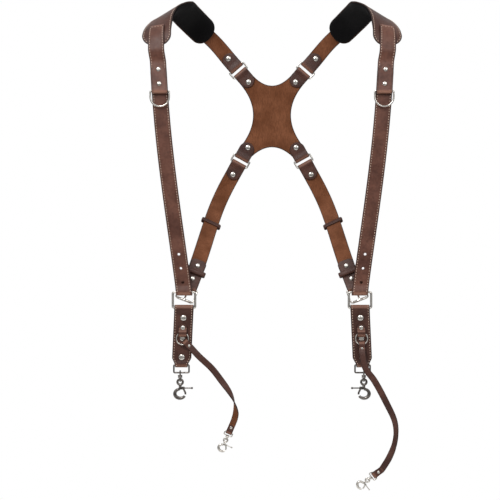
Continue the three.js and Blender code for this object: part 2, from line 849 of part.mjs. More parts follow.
// Tongue of the roller buckle, with room added all round for the slots that it passes
function tongue(room) {
  const tipPast = 3.5;
  const start = HEEL_BAR.at;
  const rest = from(ROLLER_CENTRE, [HEEL_BAR.face, ROLLER_RADIUS + TONGUE_THICKNESS / 2 - 0.3]);
  const way = rest.clone().sub(start);
  const length = way.length() + tipPast;
  way.normalize();
  const thick = way.clone().cross(BUCKLE_ACROSS).normalize();
  const centre = from(start, [way, length / 2]);
  const sizes = [TONGUE_WIDTH + 2 * room, TONGUE_THICKNESS + 2 * room, length + 2 * room];
  return block(centre, [BUCKLE_ACROSS, thick, way], sizes);
}

function makeRollerBuckle() {
  const width = STRAP_RING_WIDTH + 2 * BUCKLE_WIRE;
  const centre = from(ROLLER_CENTRE, [BUCKLE_ALONG, BUCKLE_LENGTH / 2]);
  const frame = boxRing(
    centre, BUCKLE_ACROSS, BUCKLE_ALONG, width, BUCKLE_LENGTH, BUCKLE_WIRE, 3);
  const half = STRAP_WIDTH / 2 - 1;
  const roller = rod(
    from(ROLLER_CENTRE, [BUCKLE_ACROSS, -half]),
    from(ROLLER_CENTRE, [BUCKLE_ACROSS, half]),
    ROLLER_RADIUS,
  );
  const root = rod(
    from(HEEL_BAR.at, [BUCKLE_ACROSS, -TONGUE_WIDTH / 2]),
    from(HEEL_BAR.at, [BUCKLE_ACROSS, TONGUE_WIDTH / 2]),
    BUCKLE_WIRE + 1,
  );
  add('roller_buckle', frame.add(roller).add(root).add(tongue(0)), 'nickel');
}

function rearLowerRun() {
  const low = fold(HEEL_BAR);
  const high = fold({
    ...LOWER_RING.strapBar,
    tab: YOKE_TAB,
    straight: YOKE_TAB + PAST_TAB,
  });
  high.forEach((point) => point.w.copy(LOWER_RING.across));
  high.reverse();
  const start = low[low.length - 1];
  const end = high[0];
  const leave = vec(-0.34, 0.42, 0.94).normalize();
  const between = span(
    start.p, leave, end.p, LOWER_RING.way.clone().negate(), start.w, end.w, [0.4, 0.3]);
  return new Run([...low, ...between, ...high]);
}

const REAR_LOWER = rearLowerRun();

function makeRearLowerStrap() {
  let solid = strap(REAR_LOWER, STRAP_WIDTH, LEATHER, {
    roundStart: STRAP_WIDTH * 0.25,
    roundEnd: STRAP_WIDTH / 2,
  });
  const rivets = BUCKLE_RIVETS.map((u) => tabRivet(HEEL_BAR, u));
  solid = withStuds(solid, rivets, SMALL_RIVET_RADIUS);
  solid = withStuds(solid, [tabRivet(LOWER_RING.strapBar, YOKE_RIVET)], YOKE_RIVET_RADIUS);
  const root = rod(
    from(HEEL_BAR.at, [BUCKLE_ACROSS, -TONGUE_WIDTH / 2 - FIT]),
    from(HEEL_BAR.at, [BUCKLE_ACROSS, TONGUE_WIDTH / 2 + FIT]),
    BUCKLE_WIRE + 1 + FIT,
  );
  add('rear_lower_strap', solid.subtract(tongue(FIT + 0.2)).subtract(root), 'flesh');
}

function makeRearUpperStrap() {
  const ringBar = UPPER_RING.strapBar;
  const bar = { ...ringBar, across: ringBar.across.clone().negate() };
  const folded = fold(bar);
  const start = folded[folded.length - 1];
  const lap = overPad(true, BACK_LAP);
  const between = span(
    start.p, UPPER_RING.way, lap[0].p, PAD.at(PAD.length).t.negate(), start.w, lap[0].w, [0.35, 0.35]);
  const run = new Run([...folded, ...between, ...lap]);
  const solid = strap(run, STRAP_WIDTH, LEATHER, { roundStart: STRAP_WIDTH / 2 });
  const rivets = [tabRivet(bar, YOKE_RIVET)];
  add('rear_upper_strap', withStuds(solid, rivets, YOKE_RIVET_RADIUS), 'flesh');
}

function makeYokeRings() {
  const width = STRAP_RING_WIDTH + 2 * YOKE_WIRE;
  for (const [name, ring] of [['yoke_upper_ring', UPPER_RING], ['yoke_lower_ring', LOWER_RING]]) {
    const { centre, across, way } = ring;
    add(name, boxRing(centre, across, way, width, YOKE_RING_HEIGHT, YOKE_WIRE, 2.6), 'nickel');
  }
}

// Keeper: a closed band of leather round one or two layers of the rear strap, at a distance
// along its run. The shift moves it along the strap's face to the middle of the layers.
function keeper(distance, layers, shift) {
  const { p, t, w, n } = REAR_LOWER.at(distance);
  const middle = from(p, [n, shift]);
  const half = STRAP_WIDTH / 2 + KEEPER_SLACK;
  const up = (layers * LEATHER + (layers - 1) * LAYER_GAP) / 2 + KEEPER_GAP;
  const band = (grow, height) => {
    return block(middle, [w, t, n], [2 * (half + grow), height, 2 * (up + grow)]);
  };
  return band(KEEPER_LEATHER, KEEPER_HEIGHT).subtract(band(0, 2 * KEEPER_HEIGHT));
}

function makeKeepers() {
  add('upper_keeper', keeper(REAR_LOWER.length * UPPER_KEEPER_SHARE, 1, 0), 'grain');
  const { place, main } = foldShape(HEEL_BAR);
  const between = (BUCKLE_RIVETS[0] + BUCKLE_RIVETS[1]) / 2;
  const distance = REAR_LOWER.nearest(place(between, main(between)));
  const towardsTab = Math.sign(REAR_LOWER.at(distance).n.dot(HEEL_BAR.face));
  add('lower_keeper', keeper(distance, 2, towardsTab * (LEATHER + LAYER_GAP) / 2), 'grain');
}

// Drop strap: one band of leather round the side ring and the drop ring, ends met behind
const DROP_TOP = from(SIDE_CENTRE, [Z, -SIDE_RING_HEIGHT / 2]);
const DROP_BOTTOM = from(DROP_TOP, [Z, -DROP_LENGTH], [X, DROP_SPLAY]);
const DROP_BACK_JOINT = 0.5;
const DROP_CORNER = 13;

function dropRun() {
  const down = DROP_BOTTOM.clone().sub(DROP_TOP).normalize();
  const joint = DROP_LENGTH * DROP_BACK_JOINT;
  const bars = {
    top: {
      at: DROP_TOP,
      along: down,
      face: Y,
      across: X,
      wire: SIDE_WIRE,
      slack: 0.3,
      tab: joint - 0.5,
    },
    bottom: {
      at: DROP_BOTTOM,
      along: down.clone().negate(),
      face: Y,
      across: X,
      wire: DROP_WIRE,
      tab: DROP_LENGTH - joint - 0.5,
    },
  };
  const upper = fold(bars.top);
  const lower = fold(bars.bottom).reverse();
  return { run: new Run([...upper, ...lower]), down, bars };
}

const DROP = dropRun();
const DROP_RING_ROOM_WIDTH = DROP_RING_WIDTH - 2 * DROP_WIRE - 2 * RING_ROOM;

function dropRivets() {
  const shape = foldShape(DROP.bars.top);
  return DROP_RIVETS.map((u) => {
    const front = from(DROP_TOP, [DROP.down, u], [Y, -shape.rest - LEATHER / 2]);
    return { at: front, axis: Y.clone().negate(), grip: 2 * LEATHER + LAYER_GAP };
  });
}

function makeDropStrap() {
  const { run } = DROP;
  const turnAt = run.nearest(from(DROP_BOTTOM, [Z, -foldShape(DROP.bars.bottom).turn]));
  const widthAt = (distance) => {
    const away = Math.abs(distance - turnAt) - 6;
    const share = THREE.MathUtils.clamp(away / DROP_CORNER, 0, 1);
    return blend(DROP_RING_ROOM_WIDTH, DROP_WIDTH, share);
  };
  const marks = [];
  for (const away of [6, 6 + DROP_CORNER]) {
    marks.push(turnAt - away, turnAt + away);
  }
  let solid = strap(run, DROP_WIDTH, LEATHER, { widthAt, marks });
  const rivets = { upper: 0, ring: 2, lower: 3 };
  for (const [name, i] of Object.entries(rivets)) {
    const { at, axis, grip } = dropRivets()[i];
    const radius = name === 'ring' ? RING_RIVET_RADIUS : DROP_RIVET_RADIUS;
    solid = withHoles(solid, [dropRivets()[i]], radius);
    add(`drop_${name}_rivet`, rivet(at, axis, grip, radius), 'nickel');
  }
  add('drop_strap', solid, 'grain');
}

// O-ring and the small tab that holds it on the front of the drop strap
const O_STAND_OFF = O_WIRE + FOLD_FIT + RING_TAB_SLACK + SAFETY_LEATHER + LAYER_GAP;
const DROP_FACE = from(DROP_TOP, [Y, -(LEATHER + LAYER_GAP) / 2 - LEATHER / 2]);
const O_CENTRE = from(DROP_FACE, [DROP.down, O_RING_DROP], [Y, -O_STAND_OFF]);

// How far the O-ring curves away within half the width of the tab
const O_SAG = O_RING_RADIUS - Math.sqrt(O_RING_RADIUS ** 2 - (RING_TAB_WIDTH / 2) ** 2);

function makeRingTab() {
  const bar = {
    at: from(O_CENTRE, [DROP.down, O_SAG - O_RING_RADIUS]),
    along: DROP.down.clone().negate(),
    face: Y.clone().negate(),
    across: X,
    wire: O_WIRE,
    leather: SAFETY_LEATHER,
    tab: RING_TAB_LENGTH,
    lean: 1,
    slack: RING_TAB_SLACK,
    hold: O_SAG + 2 * O_WIRE,
  };
  const folded = fold(bar);
  const shape = foldShape(bar);
  const end = from(bar.at, [bar.along, RING_TAB_LENGTH], [bar.face, shape.main(RING_TAB_LENGTH)]);
  const run = new Run([...folded, { p: end, w: X.clone() }]);
  const solid = strap(run, RING_TAB_WIDTH, SAFETY_LEATHER, {
    roundStart: RING_TAB_WIDTH / 2,
    roundEnd: RING_TAB_WIDTH / 2,
  });
  const above = O_RING_DROP - DROP_RIVETS[1] - O_RING_RADIUS + O_SAG;
  const face = shape.place(above, shape.tab(above) + SAFETY_LEATHER / 2);
  add('ring_tab', withStuds(solid, [{ at: face, axis: bar.face }], SMALL_RIVET_RADIUS), 'grain');
}

function makeORing() {
  add('o_ring', roundRing(O_CENTRE, X, Z, O_RING_RADIUS, O_WIRE, 16), 'nickel');
}

function makeDropRing() {
  const centre = from(DROP_BOTTOM, [Z, -DROP_RING_HEIGHT / 2]);
  const ring = boxRing(centre, X, Z, DROP_RING_WIDTH, DROP_RING_HEIGHT, DROP_WIRE, 2.2);
  add('drop_ring', ring, 'dark_nickel');
}

// Local frame of a snap: +X points to its lever, and it hangs along -Z from the origin
function snapFrame(origin, leverWay, downWay, scale) {
  const z = downWay.clone().negate();
  const x = leverWay.clone().addScaledVector(z, -leverWay.dot(z)).normalize();
  const y = z.clone().cross(x);
  const matrix = new THREE.Matrix4().makeBasis(x, y, z).scale(vec(scale, scale, scale));
  return matrix.setPosition(origin);
}

function inFrame(solid, frame) {
  return solid.transform(frame.toArray());
}

// Barrel of a snap's swivel with the headed pin that the body turns on
function snapBarrel() {
  const low = (depth) => vec(0, 0, -depth);
  const head = SNAP_EYE_DROP - SNAP_EYE + SNAP_EYE_WIRE + 1;
  const barrel = rod(low(SNAP_BARREL_TOP), low(SNAP_BARREL_END), SNAP_BARREL, 8);
  const pin = rod(low(SNAP_BARREL_END - 1), low(head), SNAP_PIN, 6);
  return barrel.add(pin).add(rod(low(head - FIT), low(head + 1.4), SNAP_PIN + 0.5, 6));
}

// Point of the bow at an angle from the lever's side, with the wire getting thinner
// towards both ends
function bowPoint(angle) {
  const turn = radians(angle);
  const across = SNAP_BOW_WIDTH / 2 * Math.cos(turn);
  return vec(across, 0, SNAP_BOW_HEIGHT / 2 * Math.sin(turn) - SNAP_BOW_DROP);
}

const BOW_TIP = -30;
const BOW_STEP = 24;

function snapBody() {
  const eyeAt = vec(0, 0, -SNAP_EYE_DROP);
  const top = SNAP_BARREL_END + 0.5;
  const inside = SNAP_EYE_DROP - SNAP_EYE + SNAP_EYE_WIRE;
  const collar = rod(vec(0, 0, -top), vec(0, 0, -inside + FIT), SNAP_PIN + 1.9, 8);
  const bore = rod(vec(0, 0, -top + 2), vec(0, 0, -inside - FIT), SNAP_PIN + 0.45, 6);
  const neckTop = vec(0, 0, -SNAP_EYE_DROP - SNAP_EYE);
  const neck = rod(neckTop, bowPoint(90), SNAP_NECK, 6);
  const bow = [];
  for (let angle = 90; angle <= 360 + BOW_TIP; angle += BOW_STEP) {
    bow.push(bowPoint(angle));
  }
  const wireAt = (share) => SNAP_BOW_WIRE * (0.72 + 0.28 * Math.sin(Math.PI * share));
  const pivot = vec(SNAP_PIVOT_OUT, 0, -SNAP_PIVOT_DROP);
  let solid = roundRing(eyeAt, X, Z, SNAP_EYE, SNAP_EYE_WIRE, 12);
  solid = solid.add(collar).subtract(bore).add(neck).add(wire(bow, Y, wireAt, false));
  for (const sign of [-1, 1]) {
    const centre = from(pivot, [X, -SNAP_PIVOT_OUT / 2], [Y, sign * (SNAP_EAR_GAP + SNAP_EAR) / 2]);
    solid = solid.add(block(centre, [X, Y, Z], [SNAP_PIVOT_OUT + 4.6, SNAP_EAR, 5.4]));
  }
  const pinHalf = SNAP_EAR_GAP / 2 + SNAP_EAR / 2;
  return solid.add(rod(from(pivot, [Y, -pinHalf]), from(pivot, [Y, pinHalf]), 1, 6));
}

// Sprung gate with its lever; at rest it closes the bow
function snapGate() {
  const pivot = vec(SNAP_PIVOT_OUT, 0, -SNAP_PIVOT_DROP);
  const half = SNAP_EAR_GAP / 2 - 0.4;
  const barrel = rod(from(pivot, [Y, -half]), from(pivot, [Y, half]), SNAP_GATE + 0.7, 8);
  const bore = rod(from(pivot, [Y, -half - 1]), from(pivot, [Y, half + 1]), 1.4, 6);
  const arm = [pivot, bowPoint(34), bowPoint(12), bowPoint(-10)];
  const end = from(pivot, [X, SNAP_LEVER - SNAP_PIVOT_OUT]);
  const knob = [[0, -2.2], [1.6, -1.6], [2.2, 0], [1.6, 1.6], [0, 2.2]];
  return wire(arm, Y, SNAP_GATE, false)
    .add(rod(pivot, end, 1.3, 6))
    .add(turned(knob.map(([r, h]) => new THREE.Vector2(r, h)), end, X, 8))
    .add(barrel)
    .subtract(bore);
}

const SNAP_ORIGIN = from(DROP_BOTTOM, [Z, -DROP_RING_HEIGHT], [X, SNAP_ALONG_BAR]);

function makeSnap() {
  const frame = snapFrame(SNAP_ORIGIN, X.clone().negate(), Z.clone().negate(), 1);
  const loop = roundRing(vec(0, 0, 0), Y, Z, SNAP_LOOP, SNAP_LOOP_WIRE, 12);
  add('snap_swivel', inFrame(loop.add(snapBarrel()), frame), 'dark_nickel');
  add('snap_body', inFrame(snapBody(), frame), 'dark_nickel');
  add('snap_gate', inFrame(snapGate(), frame), 'dark_nickel');
}

// Route of a safety strap from the O-ring down to its clip, as shares of its reach and
// fall. Reach is positive towards the wearer's middle, and twist turns the strap, in degrees.
const SAFETY_ROUTES = {
  right: {
    reach: SAFETY_RIGHT_REACH,
    fall: SAFETY_RIGHT_FALL,
    leave: vec(-0.69, 0, -0.72),
    arrive: vec(0.4, 0, -0.917),
    tabInFront: true,
    lever: vec(-1, 0, 0),
    rows: [
      { reach: 0.313, fall: 0.185, twist: 0 },
      { reach: 0.555, fall: 0.312, twist: 0 },
      { reach: 0.733, fall: 0.44, twist: 10 },
      { reach: 0.892, fall: 0.567, twist: 50 },
      { reach: 0.976, fall: 0.673, twist: 95 },
      { reach: 1, fall: 0.779, twist: 150 },
      { reach: 0.976, fall: 0.847, twist: 175 },
      { reach: 0.931, fall: 0.914, twist: 180 },
    ],
  },
  left: {
    reach: SAFETY_LEFT_REACH,
    fall: SAFETY_LEFT_FALL,
    leave: vec(0.05, 0, -1),
    arrive: vec(-0.8, 0, -0.6),
    tabInFront: false,
    lever: vec(0, 0, -1),
    rows: [
      { reach: -0.01, fall: 0.1, twist: 0 },
      { reach: -0.112, fall: 0.224, twist: 0 },
      { reach: -0.365, fall: 0.316, twist: 0 },
      { reach: -0.7, fall: 0.475, twist: 10 },
      { reach: -0.956, fall: 0.62, twist: 35 },
      { reach: -1, fall: 0.716, twist: 50 },
      { reach: -0.944, fall: 0.81, twist: 45 },
      { reach: -0.8, fall: 0.905, twist: 15 },
      { reach: -0.561, fall: 1, twist: 0 },
    ],
  },
};

// Direction across a flat strap that runs in the plane of the chest, turned by a twist
function acrossAt(way, twist) {
  const flat = way.clone().cross(Y).normalize();
  return flat.applyAxisAngle(way, radians(twist));
}

// Bars of the safety strap's two folds: round the O-ring, and round the clip's loop
function safetyBars(route) {
  const leave = route.leave.clone().normalize();
  const arrive = route.arrive.clone().normalize();
  const sag = O_RING_RADIUS - Math.sqrt(O_RING_RADIUS ** 2 - (SAFETY_WIDTH / 2) ** 2);
  const ring = {
    at: from(O_CENTRE, [leave, O_RING_RADIUS - sag]),
    along: leave,
    face: Y,
    across: acrossAt(leave, 0),
    wire: O_WIRE,
    leather: SAFETY_LEATHER,
    tab: SAFETY_TAB,
    slack: 0.1,
    hold: sag + 2 * O_WIRE,
  };
  const last = route.rows[route.rows.length - 1];
  const end = from(O_CENTRE, [X, -last.reach * route.reach], [Z, -last.fall * route.fall]);
  const clip = {
    at: from(end, [arrive, SAFETY_TAB]),
    along: arrive.clone().negate(),
    face: route.tabInFront ? Y.clone().negate() : Y,
    across: acrossAt(arrive, last.twist),
    wire: CLIP_WIRE,
    leather: SAFETY_LEATHER,
    tab: SAFETY_TAB,
    straight: SAFETY_TAB + PAST_TAB,
  };
  return { ring, clip, arrive };
}

function safetyStrap(route) {
  const { ring, clip } = safetyBars(route);
  const start = fold(ring);
  const finish = fold(clip).reverse();
  const [first, last] = [start[start.length - 1], finish[0]];
  const rows = route.rows.slice(0, -1).map(({ reach, fall, twist }) => {
    const p = from(O_CENTRE, [X, -reach * route.reach], [Z, -fall * route.fall]);
    p.y = first.p.y - SAFETY_BULGE * Math.sin(Math.PI * fall);
    return { p, twist };
  });
  const curve = new THREE.CatmullRomCurve3(
    [first.p, ...rows.map(({ p }) => p), last.p], false, 'centripetal');
  const twists = [0, ...rows.map(({ twist }) => twist), route.rows[rows.length].twist];
  const steps = 8 * (twists.length - 1);
  const between = [];
  for (let i = 1; i < steps; i += 1) {
    const at = (i / steps) * (twists.length - 1);
    const row = Math.min(Math.floor(at), twists.length - 2);
    const way = curve.getTangent(i / steps);
    const twist = blend(twists[row], twists[row + 1], at - row);
    between.push({ p: curve.getPoint(i / steps), w: acrossAt(way, twist) });
  }
  const run = new Run([...start, ...between, ...finish]);
  const ends = { roundStart: SAFETY_WIDTH / 2, roundEnd: SAFETY_WIDTH / 2, turn: 19 };
  const solid = strap(run, SAFETY_WIDTH, SAFETY_LEATHER, ends);
  const studs = [ring, clip].map((bar) => {
    const shape = foldShape(bar);
    const inFront = bar.face.y < 0;
    const layer = inFront ? shape.tab(SAFETY_RIVET) : shape.main(SAFETY_RIVET);
    const lift = (inFront ? 1 : -1) * SAFETY_LEATHER / 2;
    return { at: shape.place(SAFETY_RIVET, layer + lift), axis: Y.clone().negate() };
  });
  return withStuds(solid, studs, SAFETY_RIVET_RADIUS);
}

// Clip of a safety strap: a loop for the strap, and a small snap below it
function clip(route) {
  const { clip: bar, arrive } = safetyBars(route);
  const loopWidth = SAFETY_WIDTH + 2 * RING_ROOM + 2 * CLIP_WIRE;
  const centre = from(bar.at, [arrive, CLIP_LOOP_HEIGHT / 2]);
  const loop = boxRing(
    centre, bar.across, arrive, loopWidth, CLIP_LOOP_HEIGHT, CLIP_WIRE, CLIP_WIRE + 0.6);
  const origin = from(bar.at, [arrive, CLIP_LOOP_HEIGHT - SNAP_BARREL_TOP * CLIP_SCALE]);
  const frame = snapFrame(origin, route.lever, arrive, CLIP_SCALE);
  return {
    clip_swivel: inFrame(snapBarrel(), frame).add(loop),
    clip_body: inFrame(snapBody(), frame),
    clip_gate: inFrame(snapGate(), frame),
  };
}

makePad();
makeShoulderStrap();
makeChestRing();
makeFrontStrap();
makeSideRing();
makeRollerBuckle();
makeRearLowerStrap();
makeRearUpperStrap();
makeYokeRings();
makeKeepers();
makeDropStrap();
makeRingTab();
makeORing();
makeDropRing();
makeSnap();

// Cross plate on the back, with an arm folded over each of the four rings
function yokePlate() {
  const shape = new THREE.Shape();
  const corner = (ring, mirror, side) => {
    const bar = ring.plateBar;
    const reach = foldShape(bar).reach;
    const p = from(bar.at, [bar.along, reach], [bar.across, side * STRAP_WIDTH / 2]);
    return [mirror * p.x, p.z];
  };
  const start = corner(UPPER_RING, 1, -1);
  shape.moveTo(...start);
  const sides = [
    { waist: [0, YOKE_RISE - YOKE_DROP], to: corner(UPPER_RING, -1, -1) },
    { to: corner(UPPER_RING, -1, 1) },
    { waist: [-YOKE_WAIST, -YOKE_DROP], to: corner(LOWER_RING, -1, 1) },
    { to: corner(LOWER_RING, -1, -1) },
    { waist: [0, -YOKE_SAG - YOKE_DROP], to: corner(LOWER_RING, 1, -1) },
    { to: corner(LOWER_RING, 1, 1) },
    { waist: [YOKE_WAIST, -YOKE_DROP], to: corner(UPPER_RING, 1, 1) },
    { to: start },
  ];
  let last = start;
  for (const { waist, to } of sides) {
    if (waist) {
      const control = [0, 1].map((i) => 2 * waist[i] - (last[i] + to[i]) / 2);
      shape.quadraticCurveTo(...control, ...to);
    } else {
      shape.lineTo(...to);
    }
    last = to;
  }
  const plate = new THREE.ExtrudeGeometry(shape, {
    depth: LEATHER,
    bevelEnabled: false,
    curveSegments: 10,
  });
  plate.rotateX(Math.PI / 2);
  const layer = (LEATHER + LAYER_GAP) / 2;
  plate.translate(0, YOKE_BACK + layer + LEATHER / 2, 0);
  let solid = solidOf(plate);
  for (const ring of [UPPER_RING, LOWER_RING]) {
    const bar = ring.plateBar;
    const folded = fold(bar);
    const { reach, main, place } = foldShape(bar);
    folded.push({ p: place(reach + 2, main(reach + 2)), w: bar.across });
    const arm = strap(new Run(folded), STRAP_WIDTH, LEATHER, { roundStart: STRAP_WIDTH / 2 });
    const one = withStuds(arm, [tabRivet(bar, YOKE_RIVET)], YOKE_RIVET_RADIUS);
    solid = solid.add(one).add(solidOf(geometryOf(one, true)));
  }
  return solid;
}

const harness = new THREE.Group();

function place(name, geometry, material) {
  const mesh = new THREE.Mesh(geometry, new THREE.MeshStandardMaterial(MATERIALS[material]));
  mesh.name = name;
  harness.add(mesh);
}

place('yoke_plate', geometryOf(yokePlate(), false), 'flesh');
for (const [prefix, mirrored] of [['left', false], ['right', true]]) {
  for (const [name, { solid, material }] of Object.entries(side)) {
    place(`${prefix}_${name}`, geometryOf(solid, mirrored), material);
  }
  const route = SAFETY_ROUTES[prefix];
  place(`${prefix}_safety_strap`, geometryOf(safetyStrap(route), mirrored), 'grain');
  for (const [name, solid] of Object.entries(clip(route))) {
    place(`${prefix}_${name}`, geometryOf(solid, mirrored), 'nickel');
  }
}

export default harness;
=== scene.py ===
# Dual camera harness: leather, padding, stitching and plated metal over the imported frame.
# Lengths are in millimetres until a mesh is made. The wearer faces -Y and +X is the left.
import math

import bmesh
import bpy
import numpy as np
from mathutils import Matrix, Vector


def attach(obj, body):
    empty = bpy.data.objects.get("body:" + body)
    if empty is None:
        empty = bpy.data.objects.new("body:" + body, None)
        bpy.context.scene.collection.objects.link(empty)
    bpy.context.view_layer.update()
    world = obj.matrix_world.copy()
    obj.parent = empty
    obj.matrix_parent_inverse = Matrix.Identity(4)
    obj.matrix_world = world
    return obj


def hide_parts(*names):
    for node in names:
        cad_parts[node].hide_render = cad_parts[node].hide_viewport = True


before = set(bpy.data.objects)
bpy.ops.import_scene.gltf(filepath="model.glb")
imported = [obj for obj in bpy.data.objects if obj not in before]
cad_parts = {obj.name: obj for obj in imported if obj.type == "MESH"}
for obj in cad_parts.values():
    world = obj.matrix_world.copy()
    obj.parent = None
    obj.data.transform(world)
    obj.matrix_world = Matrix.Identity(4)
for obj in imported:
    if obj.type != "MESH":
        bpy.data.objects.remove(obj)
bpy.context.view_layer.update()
MM = 0.001

# Leather
LEATHER = 3
STRAP_WIDTH = 31.5
DROP_WIDTH = 37.5
RING_TAB_WIDTH = 17
SAFETY_WIDTH = 12.5
SAFETY_LEATHER = 2.5
KEEPER_LEATHER = 2.2
KEEPER_HEIGHT = 9
KEEPER_SLACK = 3
KEEPER_GAP = 0.6
KEEPER_CORNER = 2.4
KEEPER_SOFT = 0.6
UPPER_KEEPER_SHARE = 0.55
FIT = 0.3
FOLD_FIT = 0.5
LAYER_GAP = 0.4
PAST_TAB = 3
PAD_LAYER_GAP = 0.4
PAD_STRAP_GAP = 1
RING_ROOM = 0.7

# Shoulder pads
PAD_WIDTH = 58
PAD_LEATHER = 2.5
PAD_FILL = 8
PAD_RIM = 2
PAD_END = 22
LINING_EDGE = 0.45
LINING_CROWN = 1.05
LINING_THIN = 0.35
LINING_POWER = 5
CROWN_COLUMNS = 25
FLAT_COLUMNS = 9
PAD_OUT = 184
PAD_SPLAY_FRONT = 39
PAD_SPLAY_BACK = 56.5
PAD_REACH_FRONT = 104
PAD_REACH_BACK = 112
PAD_FALL_FRONT = 96
PAD_FALL_BACK = 54
FRONT_LAP = 40
BACK_LAP = 66
LAP_LEAD = 6

# Wire of the rings, as radii
CHEST_WIRE = 1.7
YOKE_WIRE = 1.7
SIDE_WIRE = 2.3
DROP_WIRE = 1.6
O_WIRE = 1.2
CLIP_WIRE = 1.1

# Chest rings
CHEST_OUT = 216
CHEST_FRONT = PAD_REACH_FRONT + 12
CHEST_DROP = 185
CHEST_RING_DEPTH = 29.5
CHEST_TAB = 52
CHEST_HIDE = 4
CHEST_SLANT = 3.7
CHEST_TILT = 6.8
CHEST_RIVETS = (13.5, 42)

# Side rings and the roller buckles behind them
SIDE_OUT = 171.5
SIDE_FRONT = 72
SIDE_DROP = 588.5
SIDE_RING_HEIGHT = 30.5
TAIL_LENGTH = 66
FRONT_SLANT = 7
HOLE_PITCH = 28
HOLE_RADIUS = 2.6
BUCKLE_LENGTH = 26
BUCKLE_WIRE = 1.5
ROLLER_RADIUS = 2.5
BUCKLE_LEAN = 21
BUCKLE_RISE = 17
BUCKLE_BACK = 6.4
TONGUE_WIDTH = 3.4
TONGUE_THICKNESS = 2.2
TONGUE_SINK = 0.3
TONGUE_TIP = 0.55
TONGUE_TAPER = 4
BUCKLE_TAB = 60
BUCKLE_RIVETS = (20, 48)
SIDE_CORNER = 3
THIN_RING_CORNER = 2.6
TONGUE_ROOT = BUCKLE_WIRE + 1
TONGUE_PAST_ROLLER = 3.5
CUT_ROOM = FIT + 0.2

# Cross plate and its four rings
YOKE_BACK = 114
YOKE_DROP = 214
YOKE_WAIST = 39
YOKE_RISE = 61.5
YOKE_SAG = 65.5
YOKE_RING_HEIGHT = 15.5
YOKE_TAB = 34
YOKE_RIVET = 24
UPPER_RING_OUT = 69
UPPER_RING_RISE = 92.5
UPPER_RING_TURN = 41
LOWER_RING_OUT = 65
LOWER_RING_SAG = 94
LOWER_RING_TURN = 29

# Drop strap and its rings
DROP_LENGTH = 111
DROP_SPLAY = 5
DROP_CORNER = 13
DROP_RING_WIDTH = 29.5
DROP_RING_HEIGHT = 15.3
DROP_CORNER_TURN = 2.2
O_RING_RADIUS = 11.7
O_RING_DROP = 59.5
RING_TAB_LENGTH = 21
RING_TAB_SLACK = 0.6
DROP_RIVETS = (19.5, 38.5, 59.5, DROP_LENGTH - 15)
RING_RIVET_RADIUS = 5.4
DROP_RIVET_RADIUS = 6
SMALL_RIVET_RADIUS = 4.4
YOKE_RIVET_RADIUS = 5.6
RIVET_RISE = 0.42
RIVET_BRIM = 0.18
RIVET_SHANK = 0.32
RIVET_CAP = 0.7
DOME_ANGLES = (20, 38, 56, 74, 88)
DROP_RIVET_HEADS = (
    ("upper", 0, DROP_RIVET_RADIUS), ("ring", 2, RING_RIVET_RADIUS), ("lower", 3, DROP_RIVET_RADIUS))

# Snap hook; the clip of the safety strap is a smaller copy
SNAP_ALONG_BAR = 2.5
SNAP_LOOP = 3.5
SNAP_LOOP_WIRE = 1.4
SNAP_BARREL = 4.6
SNAP_WAIST = 0.82
SNAP_BARREL_TOP = 4.4
SNAP_BARREL_END = 9.9
SNAP_PIN = 1.3
SNAP_EYE_DROP = 18.2
SNAP_EYE = 5.2
SNAP_EYE_WIRE = 2.3
SNAP_NECK = 2.8
SNAP_BOW_DROP = 40.9
SNAP_BOW_WIDTH = 20.6
SNAP_BOW_HEIGHT = 17.8
SNAP_BOW_WIRE = 3.5
SNAP_PIVOT_OUT = 6.2
SNAP_PIVOT_DROP = 30
SNAP_LEVER = 23
SNAP_GATE = 1.9
SNAP_EAR = 1.4
SNAP_EAR_GAP = 4.4
SNAP_EAR_PAST = 4.6
SNAP_EAR_HEIGHT = 5.4
SNAP_COLLAR = 1.9
SNAP_LEVER_RADIUS = 1.3
SNAP_KNOB = 2.2
BOW_ANGLES = range(90, 331, 6)
GATE_ANGLES = range(34, -11, -4)
KNOB_ANGLES = range(5, 180, 17)
BOW_TIP_SHARE = 0.72
CLIP_SCALE = 0.72
CLIP_CORNER = 0.6

# Safety straps
CLIP_LOOP_HEIGHT = 7
SAFETY_TAB = 15
SAFETY_RIVET = 9.5
SAFETY_BULGE = 12
SAFETY_RIVET_RADIUS = 2.7
SAFETY_RIGHT_REACH = 104
SAFETY_RIGHT_FALL = 184
SAFETY_LEFT_REACH = 66
SAFETY_LEFT_FALL = 256

# Stitching
STITCH_PITCH = 5
STITCH_LENGTH = 2.8
STITCH_WIDTH = 1.1
STITCH_INSET = 3.3
GROOVE_DEPTH = 0.28
GROOVE_REACH = 0.9
GROOVE_SHARE = 0.06
SEAM_HALF = 0.3
SEAM_SHARE = 0.3
STITCH_LIFT = LEATHER / 2 - 0.1
STITCH_START = 8
STRAP_STITCH_END = 4
THREAD_SIDES = 6
THREAD_SINK = 0.4
THREAD_RINGS = ((-0.5, 0.35), (-0.32, 0.85), (0, 1), (0.32, 0.85), (0.5, 0.35))

# Fineness of what the scene makes
RUN_STEP = 1.2
TURN_STEPS = 16
HOLD_STEPS = 12
CURVE_STEPS = 24
POINT_GAP = 0.05
MARK_GAP = 0.12
ROUND_END_SHARES = (0.005, 0.02, 0.05, 0.1, 0.16, 0.24, 0.34, 0.46, 0.6, 0.78)
BEND_REACH = 1.5
BEND_FROM = 0.2
BEND_SPREAD = 0.5
WAIST_STEPS = 48
ARM_STEPS = 4
CORNER_STEPS = 14
ACROSS_STEPS = 20
CHEST_STEPS = 40
TONGUE_STEPS = 14
D_CORNER_STEPS = 6
D_BOW_STEPS = 36
BOX_CORNER_STEPS = 8
KEEPER_CORNER_STEPS = 7
FACE_STEP = 2.2

X = np.array([1.0, 0, 0])
Y = np.array([0, 1.0, 0])
Z = np.array([0, 0, 1.0])


